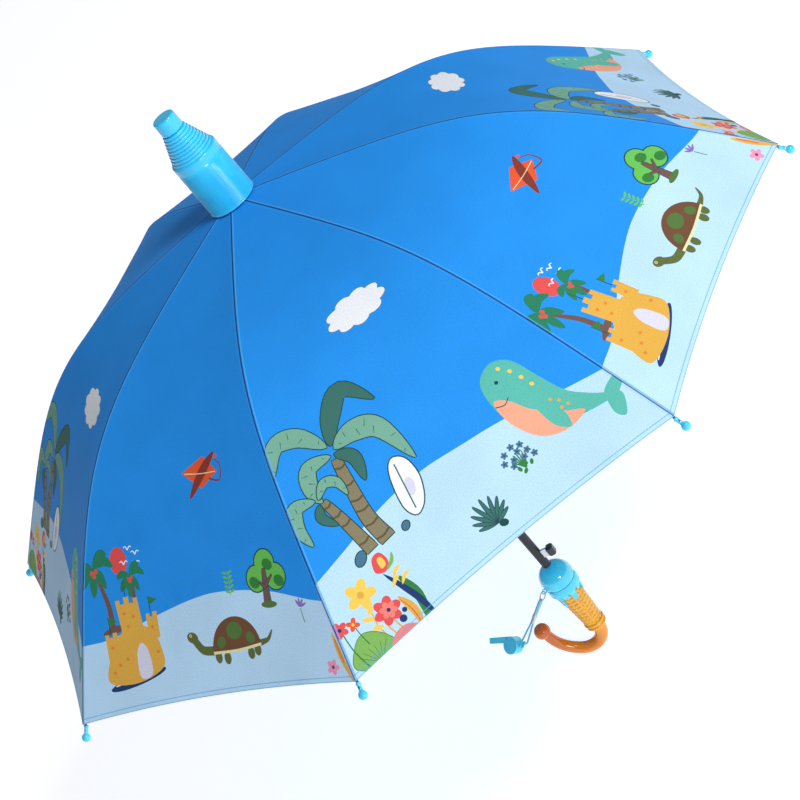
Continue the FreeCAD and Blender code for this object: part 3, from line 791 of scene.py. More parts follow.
def agave():
    shapes = []
    for k, length in enumerate((17, 21, 23, 25, 25, 23, 21, 18, 14)):
        a = math.radians(18 * k - 165)
        tip = (4 + length * math.cos(a), 452 + length * math.sin(a))
        mid = (4 + length * 0.5 * math.cos(a) - 0.6, 452 + length * 0.5 * math.sin(a))
        shapes += inked("pine", blade([(4, 452), mid, tip], 2.9, 4), "ink", 0.55)
    shapes.append(("deep pine", oval(7, 455, 4.0, 3.2, 30, 12)))
    return shapes


def shrub():
    shapes = []
    for k in range(7):
        a = math.radians(-150 + 20 * k)
        twig = [(48, 432), (48 + 8 * math.cos(a), 425 + 8 * math.sin(a))]
        shapes.append(("dark apple", ribbon(twig, 1.6, 0.8, 3)))
    for x, y in ((36, 419), (40, 413), (44, 421), (48, 411), (50, 417), (55, 414), (57, 421), (60, 427),
                 (41, 425), (52, 424)):
        shapes += flower(x, y, 3.0, 5, "slate", "ink", 12 * x)
    for x, y in ((43, 430), (49, 429), (54, 431), (46, 434)):
        shapes.append(("dark apple", oval(x, y, 2.6, 1.6, 20 * (x - 48), 8)))
    return shapes


def garden():
    """Corner bed of flowers, reeds and a round bush."""
    shapes = [("dark apple", blade([(-86, 480), (-80, 455), (-84, 432)], 8, 5)),
              ("navy", blade([(-78, 480), (-82, 455), (-92, 424)], 5.5, 5)),
              ("gold", blade([(-92, 480), (-90, 462), (-94, 446)], 7, 5)),
              ("coral", ribbon([(-92, 478), (-91, 462), (-94, 449)], 1.2, 0.6, 4))]
    for x, y, reach in ((-118, 470, 30), (-112, 470, 24), (-105, 470, 20)):
        shapes.append(("gold", ribbon([(x, y), (x - 2, y - reach * 0.5), (x + 1, y - reach)], 1.6, 0.8, 4)))
    for x, y, turn in ((-123, 446, 30), (-117, 440, 130), (-113, 452, 40), (-108, 446, 140), (-121, 456, 20)):
        shapes.append(("butter", oval(x, y, 5.0, 2.2, turn, 12)))
    bush = smooth_loop([(-154, 472), (-146, 458), (-134, 452), (-122, 460), (-116, 476), (-130, 486)], 6)
    shapes += inked("leaf", bush, "moss", 0.6)
    for k in range(6):
        shapes.append(("moss", ribbon([(-134, 480), (-148 + 5.4 * k, 464 + 0.8 * abs(k - 2))], 0.5, 0.4, 3)))
    shapes += flower(-116, 426, 12.5, 5, "butter", "gold", 20)
    shapes += flower(-107, 450, 11.5, 6, "red", "navy", 0)
    shapes += flower(-106, 450, 7.0, 6, "rose", "navy", 30)
    shapes += [("dark apple", ribbon([(-144, 480), (-147, 460), (-146, 442)], 1.2, 1.0, 4)),
               ("dark apple", ribbon([(-134, 462), (-135, 452), (-135, 444)], 1.0, 0.8, 4))]
    shapes += flower(-146, 438, 7.0, 5, "red", "navy", 50)
    shapes += flower(-135, 441, 5.5, 4, "coral", "butter", 40)
    shapes += [("red", smooth_loop([(-96, 420), (-92, 409), (-84, 408), (-82, 418), (-88, 424)], 5)),
               ("butter", smooth_loop([(-90, 420), (-89, 412), (-85, 412), (-85, 419)], 4)),
               ("leaf", blade([(-88, 424), (-80, 420), (-76, 414)], 3.2, 4)),
               ("rose", smooth_loop([(-124, 482), (-116, 470), (-102, 468), (-92, 478), (-104, 486)], 5)),
               ("navy", oval(-101, 463, 3.2, 3.2, 0, 12)), ("navy", oval(-96, 458, 2.2, 2.2, 0, 10))]
    for x, y in ((-88, 433), (-93, 439), (-85, 441)):
        shapes.append(("butter", blade([(x, y), (x + 6, y - 5), (x + 11, y - 6)], 3.2, 4)))
    return shapes


def beach_scene():
    """Print of the first kind of gore: palms, cloud, whale and garden on pale sand."""
    shore = smooth_run([(-176, 405), (-143, 397), (-109, 390), (-60, 380), (-18, 378), (20, 383), (56, 389),
                        (98, 400), (143, 411), (176, 416)], 8)
    shapes = [("sand", shore + [(190, 520), (-190, 520)])]
    shapes += cloud(24, 226)
    shapes += ringed_trunk([(-93, 346), (-90, 366), (-86, 403)], 6, 11, 4)
    shapes += ringed_trunk([(-64, 324), (-69, 352), (-73, 380), (-71, 404)], 8, 14, 6)
    shapes += frond([(-61, 312), (-47, 292), (-27, 278), (-10, 304)], 17, "pine")
    shapes += frond([(-60, 316), (-40, 314), (-22, 326), (-14, 366)], 19, "sage", 7)
    shapes += frond([(-64, 311), (-78, 288), (-97, 282), (-114, 304)], 17, "sage")
    shapes += frond([(-63, 320), (-52, 332), (-56, 354)], 11, "pine", 4)
    shapes += frond([(-66, 319), (-86, 316), (-95, 332), (-94, 346)], 14, "sage")
    shapes += frond([(-95, 342), (-84, 334), (-75, 340), (-74, 354)], 9, "sage", 4)
    shapes += frond([(-98, 341), (-114, 336), (-122, 350), (-121, 370)], 13, "sage", 5)
    shapes += frond([(-97, 346), (-102, 356), (-95, 369)], 8, "pine", 3)
    shapes += (inked("slate", oval(-98, 403, 6.5, 4.2, -40, 14))
               + inked("slate", oval(-54, 405, 4.0, 3.0, -40, 12)))
    board = smooth_loop([(-29, 354), (-21, 362), (-21, 380), (-30, 398), (-41, 404), (-46, 394), (-43, 376),
                         (-37, 360)])
    shapes += inked("white", board, "deep pine", 1.1)
    shapes += [("lilac", oval(-32, 382, 4.2, 8.0, 20, 16)),
               ("pine", ribbon([(-31, 359), (-39, 399)], 1.2, 1.2, 4))]
    shapes += whale() + shrub() + agave() + garden()
    return shapes


def broad_palm(x, y, trunk, size=1.0):
    """Palm with drooping solid leaves and red nuts; trunk lists the points down to its foot."""
    shapes = [("trunk", ribbon([(x, y)] + trunk, 3.0 * size, 7.0 * size, 6))]
    for dx, dy, lift in ((24, 2, -12), (18, -10, -12), (-17, 18, -4), (-4, 26, 2), (12, 20, -4),
                         (-20, 2, -8)):
        mid = (x + dx * size * 0.55, y + dy * size * 0.5 + lift * size * 0.5)
        shapes.append(("palm", blade([(x, y), mid, (x + dx * size, y + dy * size)], 9 * size, 5)))
    nuts = [(x + dx * size, y + dy * size) for dx, dy in ((-2, 4), (3, 3), (0, 7))]
    return shapes + dots("red", nuts, 2.2 * size, 2.2 * size)


def kite():
    """Plain diamond kite with crossed spars and a curling tail."""
    return [("coral", [(6, 279), (32, 268), (48, 284), (28, 296)]),
            ("brick", blade([(46, 266), (30, 282), (13, 303)], 9, 6)),
            ("brick", ribbon([(38, 289), (50, 292), (52, 280), (46, 273)], 1.8, 1.0)),
            ("coral", oval(47, 271, 2.0, 2.0, 0, 8)),
            ("cream", ribbon([(9, 280), (28, 283), (46, 284)], 0.8, 0.8, 3))]


def castle():
    """Sandcastle with flags, standing on a dark mat."""
    mound = smooth_loop([(-118, 446), (-112, 424), (-104, 412), (-92, 404), (-72, 400), (-56, 408),
                         (-50, 424), (-52, 440), (-84, 450)])
    shapes = [("navy", oval(-84, 447, 35, 5.0, -10, 26)),
              ("white", ribbon([(-112, 450), (-84, 446), (-56, 440)], 1.0, 1.0, 4)),
              ("gold", mound),
              ("gold", [(-92, 410), (-94, 376), (-89, 376), (-89, 380), (-84, 380), (-84, 374), (-78, 374),
                        (-78, 380), (-73, 380), (-73, 376), (-68, 376), (-66, 410)]),
              ("gold", [(-62, 414), (-61, 392), (-57, 392), (-57, 395), (-53, 395), (-53, 391), (-48, 391),
                        (-49, 414)]),
              ("gold", [(-114, 430), (-113, 404), (-109, 404), (-109, 407), (-104, 407), (-104, 403),
                        (-99, 403), (-99, 430)])]
    shapes.append(("lilac", smooth_loop([(-80, 446), (-80, 426), (-73, 416), (-66, 424), (-66, 444)])))
    stones = ((-86, 388), (-76, 392), (-84, 400), (-107, 416), (-102, 432), (-92, 428), (-56, 404),
              (-55, 426), (-110, 438))
    shapes += dots("amber", stones, 2.0, 1.6, 0, 8)
    for x, y in ((-81, 374), (-55, 391), (-106, 403)):
        shapes += [("ink", ribbon([(x, y), (x, y - 14)], 0.9, 0.9, 2)),
                   ("dark apple", [(x, y - 14), (x + 10, y - 10), (x, y - 6)])]
    return shapes


def tortoise():
    """Plain tortoise: domed brown shell with three green scutes."""
    shapes = dots("olive", ((14, 440), (24, 442), (52, 441), (60, 439)), 4.0, 5.5, 0, 12)
    shapes.append(("olive", ribbon([(10, 434), (-2, 432), (-9, 424), (-11, 420)], 8, 7, 5)))
    shapes.append(("olive", oval(-12, 420, 6.5, 4.8, 20, 16)))
    shapes.append(("olive", ribbon([(64, 434), (74, 432), (80, 425)], 6, 1.4, 5)))
    shapes.append(("cocoa", arc(37, 436, 28, 180, 360, 20)))
    shapes.append(("moss", oval(37, 420, 9, 7.5, 0, 14)))
    shapes += [("moss", oval(20, 428, 5.5, 4.5, -50, 12)), ("moss", oval(54, 428, 5.5, 4.5, 50, 12))]
    shapes.append(("cream", ribbon([(9, 436), (37, 437), (65, 435)], 2.4, 2.4, 4)))
    shapes += [("cream", oval(-14, 418, 1.5, 1.5, 0, 8)), ("ink", oval(-14, 418, 0.8, 0.8, 0, 6))]
    return shapes


def round_tree():
    crowns = ((86, 369), (74, 381), (96, 382))
    shapes = dots("ink", crowns, 12.2, 12.2, 0, 20) + dots("apple", crowns, 11, 11, 0, 20)
    shapes += dots("dark apple", ((89, 371), (71, 384), (99, 386)), 6, 4.8, 30, 14)
    shapes += inked("trunk", ribbon([(84, 374), (83, 388), (82, 403)], 3, 8), "ink", 0.7)
    shapes += inked("trunk", ribbon([(83, 390), (76, 384)], 3, 1.4, 3), "ink", 0.5)
    shapes += inked("trunk", ribbon([(83, 388), (92, 380)], 3, 1.4, 3), "ink", 0.5)
    shapes.append(("moss", oval(83, 404, 9, 3, 5, 14)))
    return shapes


def bay_scene():
    """Print of the second kind of gore: sun, palms, castle, tortoise and tree."""
    shore = smooth_run([(-176, 414), (-141, 410), (-106, 408), (-53, 396), (-2, 387), (35, 386), (84, 393),
                        (135, 408), (176, 414)], 8)
    shapes = [("sand", shore + [(190, 520), (-190, 520)])]
    shapes += kite()
    shapes.append(("red", oval(-82, 342, 10, 12.5, 0, 24)))
    for x, y in ((-69, 333), (-61, 338), (-62, 347), (-76, 345)):
        shapes += [("white", ribbon([(x - 4.5, y - 1.5), (x - 2, y - 2.2), (x, y + 1)], 0.9, 1.2, 4)),
                   ("white", ribbon([(x, y + 1), (x + 2.5, y - 2), (x + 5, y - 1)], 1.2, 0.9, 4))]
    shapes += broad_palm(-113, 344, [(-107, 362), (-102, 380), (-102, 400)])
    shapes.append(("trunk", oval(-100, 401, 15, 3.4, -8, 16)))
    shapes += broad_palm(-72, 356, [(-70, 368), (-72, 384)], 0.75)
    shapes += castle() + tortoise() + round_tree()
    shapes.append(("apple", ribbon([(41, 390), (42, 380), (42, 370)], 0.9, 0.6, 4)))
    for k in range(5):
        y = 387 - 4 * k
        shapes += [("apple", oval(38.5, y, 2.8, 1.2, 25, 8)), ("apple", oval(44.5, y, 2.8, 1.2, -25, 8))]
    shapes.append(("moss", ribbon([(117, 412), (119, 424)], 0.8, 0.8, 3)))
    for turn in (-120, -90, -55, -20):
        a = math.radians(turn)
        shapes.append(("violet", blade([(117, 411), (117 + 8 * math.cos(a), 411 + 8 * math.sin(a))], 2.2, 4)))
    shapes += flower(140, 464, 6.5, 5, "pink", "cocoa", 10)
    shapes += [("gold", blade([(146, 436), (151, 456), (160, 480)], 5)),
               ("coral", ribbon([(148, 442), (153, 462)], 1, 1, 3))]
    return shapes


def inside(x, y, outline):
    hit = False
    x0, y0 = outline[-1]
    for x1, y1 in outline:
        if (y0 > y) != (y1 > y) and x < (x1 - x0) * (y - y0) / (y1 - y0) + x0:
            hit = not hit
        x0, y0 = x1, y1
    return hit


def cut_gore(shapes):
    """The flat gore cut into small triangles that follow the print: points, triangles and their colours."""
    points = []
    edges = []

    def chain(line, closed=False):
        first = len(points)
        points.extend(Vector(p) for p in line)
        count = len(line)
        edges.extend((first + k, first + (k + 1) % count) for k in range(count if closed else count - 1))

    lengths = [FABRIC_START + (RIB_LENGTH - FABRIC_START) * k / 60 for k in range(61)]
    corner = half_width(RIB_LENGTH)
    hem = [(corner * k / 20, hem_at(corner * k / 20, corner)) for k in range(-20, 21)]
    for side in (-1, 1):
        chain([(side * half_width(s), s) for s in lengths])
        chain([(side * (half_width(s) - 2.5), s) for s in lengths[1:-1]])
    chain(hem)
    chain([(x, s - HEM_BAND) for x, s in hem[1:-1]])
    chain([(-half_width(FABRIC_START), FABRIC_START), (half_width(FABRIC_START), FABRIC_START)])
    chain([(0.0, s) for s in lengths[:-1]] + [(0.0, RIB_LENGTH - HEM_RISE)])
    chain([(-half_width(FLEX_AT), FLEX_AT), (0.0, FLEX_AT), (half_width(FLEX_AT), FLEX_AT)])
    for s in lengths[1:-1]:
        half = half_width(s)
        count = max(1, int(half / 8.5))
        for k in range(1, count):
            for side in (-1, 1):
                points.append(Vector((side * half * k / count, s)))
    for _, outline in shapes:
        chain(outline, True)
    flat, _, triangles, *_ = delaunay_2d_cdt(points, edges, [], 0, 1e-4)
    boxes = []
    for colour, outline in reversed(shapes):
        xs = [p[0] for p in outline]
        ys = [p[1] for p in outline]
        boxes.append((min(xs), max(xs), min(ys), max(ys), colour, outline))
    kept = []
    for triangle in triangles:
        x = sum(flat[v].x for v in triangle) / 3
        y = sum(flat[v].y for v in triangle) / 3
        if y < FABRIC_START or abs(x) > half_width(y) + 0.01 or y > hem_at(x, corner):
            continue
        a, b, c = (flat[v] for v in triangle)
        if abs((b - a).cross(c - a)) < 1e-5:
            continue
        found = "ground"
        for left, right, top, bottom, colour, outline in boxes:
            if left <= x <= right and top <= y <= bottom and inside(x, y, outline):
                found = colour
                break
        kept.append((triangle, found, x, y))
    return flat, kept


def gore_point(x, s, middle, drop=0.0):
    """A point of the flat gore on the open canopy, in millimetres. middle is the gore's azimuth."""
    r, z = on_rib(s)
    half = r * math.sin(HALF_GORE)
    share = min(1.0, abs(x) / half)
    a = rib_slope(s)
    down = GORE_DIP * 2 * half * (1 - share * share) + drop
    out = r * math.cos(HALF_GORE) - down * math.sin(a)
    z -= down * math.cos(a)
    return Vector((out * math.cos(middle) - x * math.sin(middle),
                   out * math.sin(middle) + x * math.cos(middle), z))


def gore_normal(x, s, middle):
    half = half_width(s)
    x = max(-half * 0.999, min(half * 0.999, x))
    across = gore_point(x + 0.5, s, middle) - gore_point(x - 0.5, s, middle)
    along = gore_point(x, s + 0.5, middle) - gore_point(x, s - 0.5, middle)
    return along.cross(across).normalized()


def mixed(a, b, share):
    return tuple(u + (v - u) * share for u, v in zip(a, b))


def make_cloth(name, halves, body):
    """One piece of the canopy over a rib: the gore halves on its two sides, as a thin closed shell."""
    vertices = []
    faces = []
    face_colours = []
    corner_normals = []
    data = []
    for flat, kept, middle in halves:
        numbers = {}
        used = sorted({v for triangle, *_ in kept for v in triangle})
        corner = half_width(RIB_LENGTH)
        normals = {}
        for v in used:
            x, s = flat[v].x, flat[v].y
            numbers[v] = len(vertices)
            normals[v] = gore_normal(x, s, middle)
            to_rib = half_width(s) - abs(x)
            to_hem = hem_at(x, corner) - s
            thick = HEM_CLOTH if to_hem < HEM_BAND + 0.1 else CLOTH
            for drop in (0.0, thick):
                vertices.append(gore_point(x, s, middle, drop))
                data.append((x, s, to_rib, to_hem, 1.0 if x < 0 else 0.25))
        rims = {}
        for triangle, colour, _, _ in kept:
            a, b, c = triangle
            top_colour = linear(PRINT[colour])
            under_colour = linear(mixed(PRINT[colour], (150, 178, 210), 0.35))
            order = (a, c, b)
            faces.append(tuple(numbers[v] for v in order))
            face_colours.append(top_colour)
            corner_normals.extend(normals[v] for v in order)
            faces.append(tuple(numbers[v] + 1 for v in reversed(order)))
            face_colours.append(under_colour)
            corner_normals.extend(-normals[v] for v in reversed(order))
            for u, w in zip(order, order[1:] + order[:1]):
                if (w, u) in rims:
                    del rims[(w, u)]
                else:
                    rims[(u, w)] = top_colour
        for (u, w), rim_colour in rims.items():
            quad = (numbers[w], numbers[u], numbers[u] + 1, numbers[w] + 1)
            faces.append(quad)
            face_colours.append(rim_colour)
            p, q, t = (vertices[k] for k in quad[:3])
            side = (q - p).cross(t - q).normalized()
            corner_normals.extend([side] * 4)
    piece = link_mesh(name, vertices, faces, FINISHES["canopy"], body, "canopy_fabric")
    mesh = piece.data
    print_layer = mesh.attributes.new("print", "FLOAT_COLOR", "CORNER")
    cloth_map = mesh.uv_layers.new(name="Cloth")
    colours = []
    places = []
    for face, colour in zip(mesh.polygons, face_colours):
        for v in face.vertices:
            colours.extend(colour)
            places.extend((data[v][0] * MM, data[v][1] * MM))
    print_layer.data.foreach_set("color", colours)
    cloth_map.data.foreach_set("uv", places)
    for column, attribute in ((2, "to_rib"), (3, "to_hem"), (4, "seam_side")):
        layer = mesh.attributes.new(attribute, "FLOAT", "POINT")
        layer.data.foreach_set("value", [row[column] for row in data])
    mesh.normals_split_custom_set(corner_normals)
    return piece


def cut_area(inner):
    """Flat area in square metres of one rib's cloth, on this side of the flex line."""
    low, high = (FABRIC_START, FLEX_AT) if inner else (FLEX_AT, RIB_LENGTH)
    count = 200
    step = (high - low) / count
    area = sum(2 * half_width(low + (k + 0.5) * step) * step for k in range(count))
    if not inner:
        area -= 2 * half_width(RIB_LENGTH) * HEM_RISE * 2 / 3
    return area * MM * MM


def make_canopy():
    scenes = [cut_gore(beach_scene()), cut_gore(bay_scene())]
    parts = []
    for flat, kept in scenes:
        split = {}
        for entry in kept:
            split.setdefault((entry[2] > 0, entry[3] < FLEX_AT), []).append(entry)
        parts.append((flat, split))
    for i in range(RIBS):
        rib_angle = FIRST_RIB + 2 * HALF_GORE * i
        before = parts[(i + 1) % 2]
        after = parts[i % 2]
        for inner in (True, False):
            halves = [(before[0], before[1][(True, inner)], rib_angle - HALF_GORE),
                      (after[0], after[1][(False, inner)], rib_angle + HALF_GORE)]
            label = "inner" if inner else "outer"
            body = f"rib_{i + 1}" if inner else f"rod_{i + 1}"
            piece = make_cloth(f"canopy_{label}_{i + 1}", halves, body)
            if inner:
                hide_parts(f"canopy_panel_{i + 1}")
            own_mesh(piece)
            cut_area(inner)


# ---------------------------------------------------------------- cover over the crown

def make_cover():
    """Cup with fine turned lines, nested rings above it and a smooth end cap."""
    outline = [(21.6, 618.4), (22.7, 618.3)] + arc(22.7, 619.0, 0.7, -90, 60, 5) + [(22.9, 620.3)]
    lines = 38
    for k in range(lines):
        z = 621.0 + (664.5 - 621.0) * k / lines
        outline += [(22.95, z), (22.95, z + 0.55), (22.68, z + 0.8)]
    outline += [(22.95, 668.5), (22.9, 672.0)] + arc(20.9, 673.2, 2.0, 15, 85)
    outline += [(19.6, 675.5), (19.6, 674.4), (21.6, 672.0)]
    cup = turned("cover_cup_sleeve", outline, FINISHES["cover"], "cover", "cover_blue", 112, sharp=60)
    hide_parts("cover_cup")
    rings = 9
    pitch = (701.7 - 675.0) / rings
    outline = [(7.0, 675.0)]
    for k in range(rings):
        r = 20.7 + (11.9 - 20.7) * k / (rings - 1)
        z = 675.0 + pitch * k
        outline += [(r - 0.35, z), (r + 0.05, z + 0.3)] + arc(r - 0.6, z + pitch - 1.0, 0.7, 0, 80, 4)
        outline.append((r - 0.95, z + pitch - 0.25))
    outline += [(9.9, 701.5), (7.0, 701.5)]
    sections = turned("cover_rings", outline, FINISHES["cover"], "cover", "cover_blue", 96, sharp=50)
    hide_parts("cover_sections")
    outline = [(7.0, 701.2), (9.6, 701.2), (9.6, 702.2), (10.7, 702.3)] + arc(10.6, 702.9, 0.5, -60, 0, 3)
    outline += arc(9.1, 715.0, 1.7, 0, 90, 7) + [(5.0, 716.55), (0.0, 716.5)]
    outline = [(0.0, 712.5), (7.0, 712.5)] + outline
    cap = turned("cover_end_cap", outline, FINISHES["cover"], "cover", "cover_blue", 72, sharp=50)
    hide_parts("cover_cap")


# ---------------------------------------------------------------- handle

BALL_Z = 101.0
BALL_R = 17.5
LIP_LOW = 84.5
CONE_LOW = 35.0
CONE_R_LOW = 9.75
CONE_R_TOP = 13.0
ICING_TOP = 95.2
ICING_RIM = LIP_LOW + 2.0    # below this height the icing follows the cone
ICING_R = 17.15              # the icing's radius at its rim
DRIPS = ((8, 13, 12), (44, 8, 13), (86, 15, 12), (124, 7, 12), (160, 12, 12), (198, 8.5, 12),
         (233, 16.5, 11.5), (268, 7, 12), (300, 12.5, 12), (336, 6, 12))
CROOK_R = 7.0                # the crook's tube under the cone
BEND_R = 19.0
SWEEP_R = 42.0
END_BALL_R = 8.5


def cone_radius(z):
    return CONE_R_LOW + (CONE_R_TOP - CONE_R_LOW) * (z - CONE_LOW) / (LIP_LOW - CONE_LOW)


def make_scoop():
    """Moulded ball with a parting groove over its lip and a collar round the shaft."""
    outline = [(4.6, 90.5), (14.2, 90.5)]
    for k in range(49):
        a = -32.0 + (75.0 + 32.0) * k / 48
        r = BALL_R - 0.35 * math.exp(-((a + 17.0) / 1.6) ** 2)
        outline.append((r * math.cos(math.radians(a)), BALL_Z + r * math.sin(math.radians(a))))
    outline += [(4.9, 117.6), (4.6, 116.9)]
    scoop = turned("scoop_ball", outline, FINISHES["scoop"], "handle_and_shaft", "scoop_blue", 96, sharp=60)
    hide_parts("scoop")


def drip_reach(a):
    """How far the icing runs down the cone at azimuth a, in degrees: fingers with round ends."""
    reach = 1.0 + 0.5 * math.sin(math.radians(3 * a))
    for centre, length, half in DRIPS:
        off = abs((a - centre + 180) % 360 - 180) / half
        if off < 1.0:
            reach = max(reach, length - 2.8 * (1 - math.sqrt(1 - off ** 3)))
    return reach


def make_icing():
    """Icing that flares out under the ball and runs down the cone in drips of several lengths."""
    columns = 360
    reaches = [drip_reach(360 * i / columns) for i in range(columns)]
    for _ in range(2):
        reaches = [(reaches[i - 1] + 2 * reaches[i] + reaches[(i + 1) % columns]) / 4 for i in range(columns)]
    rows = 26
    vertices = []
    for j in range(rows + 1):
        t = j / rows
        for i in range(columns):
            a = 2 * math.pi * i / columns
            low = LIP_LOW + 1.5 - reaches[i]
            z = ICING_TOP - (ICING_TOP - low) * t
            if z > ICING_RIM:
                q = (z - ICING_RIM) / (ICING_TOP - ICING_RIM)
                r = 17.0 + 0.55 * math.sin(math.pi * (1 - q)) - 0.35 * q
            else:
                q = min(1.0, (ICING_RIM - z) / 3.4)
                on_cone = cone_radius(z) + 2.1
                r = ICING_R + (on_cone - ICING_R) * (q * q * (3 - 2 * q))
            tail = (z - low) / 2.2
            if tail < 1:
                inner = cone_radius(min(z, LIP_LOW)) - 0.3
                r = inner + (r - inner) * math.sqrt(max(0.0, 1 - (1 - tail) ** 2))
            vertices.append((r * math.cos(a), r * math.sin(a), z))
    for i in range(columns):
        a = 2 * math.pi * i / columns
        vertices.append((12.2 * math.cos(a), 12.2 * math.sin(a), 91.0))
    faces = grid_faces(rows + 2, columns)
    top = (rows + 1) * columns
    faces += [(top + i, top + (i + 1) % columns, (i + 1) % columns, i) for i in range(columns)]
    icing = link_mesh("scoop_icing", vertices, faces, FINISHES["scoop"], "handle_and_shaft", "scoop_blue")
    outward(icing)
    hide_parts("drip_ring")


def make_cone():
    """Waffle cone: rows of raised pads in straight columns."""
    around = 11
    columns = around * 16
    bands = 11
    rows = bands * 12
    vertices = []
    for j in range(rows + 1):
        z = CONE_LOW + (88.0 - CONE_LOW) * j / rows
        band = j / rows * bands
        v = (band % 1.0) * 2 - 1
        for i in range(columns):
            a = 2 * math.pi * i / columns
            u = (i / columns * around % 1.0) * 2 - 1
            pad = max(0.0, 1 - abs(u / 0.94) ** 4.0) * max(0.0, 1 - abs(v / 0.9) ** 2.4)
            r = cone_radius(z) - 0.3 + 0.95 * pad ** 0.8
            vertices.append((r * math.cos(a), r * math.sin(a), z))
    faces = grid_faces(rows + 1, columns)
    faces.append(tuple(range(columns)))
    faces.append(tuple(rows * columns + i for i in range(columns)))
    cone = link_mesh("waffle_cone", vertices, faces, FINISHES["cone"], "handle_and_shaft", "cone_yellow")
    outward(cone)
    crisp_edges(cone, 70)
    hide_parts("cone_grip")


def crook_path():
    """(x, z, heading, radius) along the crook: a tight bend, then a wide sweep to the ball."""
    bend = math.radians(120) * BEND_R
    sweep = math.radians(50) * SWEEP_R
    length = bend + sweep + 11.0
    count = 396
    x = 0.0
    z = 0.0
    path = []
    for k in range(count + 1):
        s = k * length / count
        if s < bend:
            angle = math.radians(-90) + s / BEND_R
        else:
            angle = math.radians(30) + min(s - bend, sweep) / SWEEP_R
        path.append((x, z, angle, CROOK_R - 1.8 * s / length))
        x -= math.cos(angle) * length / count
        z += math.sin(angle) * length / count
    lowest = min(z - r * math.cos(angle) for x, z, angle, r in path)
    return [(x, z - lowest, angle, r) for x, z, angle, r in path]


def make_crook():
    """Crook tube that swells into its end ball, and the two-ring collar under the cone."""
    path = crook_path()
    points = [Vector((0, 0, 36.0)), Vector((0, 0, 33.0)), Vector((0, 0, 30.0))]
    radii = [CROOK_R] * 3
    for x, z, _, r in path[10:-24:8]:
        points.append(Vector((x, 0, z)))
        radii.append(r)
    end = Vector((path[-1][0], 0, path[-1][1]))
    ahead = (end - points[-1]).normalized()
    for k in range(15):
        offset = END_BALL_R * math.cos(math.radians(142) * (1 - k / 14))
        points.append(end + ahead * offset)
        radii.append(math.sqrt(max(END_BALL_R ** 2 - offset ** 2, 0.0004)))
    crook = swept("crook_tube", points, radii, FINISHES["hook"], "handle_and_shaft", "hook_orange", 48,
                  "Crook")
    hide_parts("hook")
    outline = [(6.0, 36.2), (9.6, 36.2)] + arc(9.6, 34.2, 1.9, 80, -60, 8) + [(10.0, 32.0)]
    outline += arc(8.9, 29.6, 2.1, 60, -80, 8) + [(8.0, 27.2), (6.0, 27.0)]
    turned("crook_collar", outline, FINISHES["cone"], "handle_and_shaft", "cone_yellow", 72, sharp=60)


# ---------------------------------------------------------------- lanyard and whistle

LANYARD = math.radians(212)
DIP = math.radians(28.3)
OUT = Vector((math.cos(LANYARD), math.sin(LANYARD), 0))
DOWN_LINE = OUT * math.cos(DIP) - Vector((0, 0, math.sin(DIP)))
EYELET = OUT * (math.sqrt(BALL_R ** 2 - 9) + 1.9) + Vector((0, 0, BALL_Z - 3))
MOUTH = Vector((-0.870, 0.482, 0.010)).normalized()
FACE = Vector((-0.320, -0.593, 0.738))
FACE = (FACE - MOUTH * FACE.dot(MOUTH)).normalized()
SPREAD = (MOUTH + FACE).normalized()
SPREAD = (SPREAD - DOWN_LINE * SPREAD.dot(DOWN_LINE)).normalized()
CRIMP_END = 33.0
LOOP_END = 56.0
LOOP_R = 0.9
LOOP_BEND_R = 2.7
LOOP_HALF_TOP = 0.95


def on_line(length, side=0.0):
    return EYELET + DOWN_LINE * length + SPREAD * side


def loop_route():
    """The part's own route: down one strand, round the lug and up the other strand."""
    turn = on_line(LOOP_END - LOOP_BEND_R - LOOP_R)
    drop = (turn - on_line(CRIMP_END)).length
    lean = math.atan2(LOOP_BEND_R - LOOP_HALF_TOP, drop)
    bend = []
    for k in range(11):
        a = -lean + (math.pi + 2 * lean) * k / 10
        bend.append(turn + (SPREAD * math.cos(a) + DOWN_LINE * math.sin(a)) * LOOP_BEND_R)
    starts = [on_line(CRIMP_END, LOOP_HALF_TOP), on_line(CRIMP_END, -LOOP_HALF_TOP)]
    down = [starts[0].lerp(bend[0], share) for share in (0.0, 0.3, 0.6, 0.9)]
    back = [starts[1].lerp(bend[-1], share) for share in (0.9, 0.6, 0.3, 0.0)]
    return down + bend + back


def make_loop():
    """Thin cord from the crimp, round through the whistle's lug and back."""
    stops = loop_route()
    curve = bpy.data.curves.new("lanyard_loop_cord", "CURVE")
    curve.dimensions = "3D"
    spline = curve.splines.new("NURBS")
    spline.points.add(len(stops) - 1)
    for point, stop in zip(spline.points, stops):
        point.co = (*(stop * MM), 1.0)
    spline.order_u = 3
    spline.use_endpoint_u = True
    spline.resolution_u = 10
    curve.bevel_depth = LOOP_R * MM
    curve.bevel_resolution = 5
    curve.use_fill_caps = True
    cord = bpy.data.objects.new("lanyard_loop_cord", curve)
    bpy.context.scene.collection.objects.link(cord)
    curve.materials.append(FINISHES["loop"])
    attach(cord, "whistle_lanyard")
    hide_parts("lanyard_loop")
    return cord


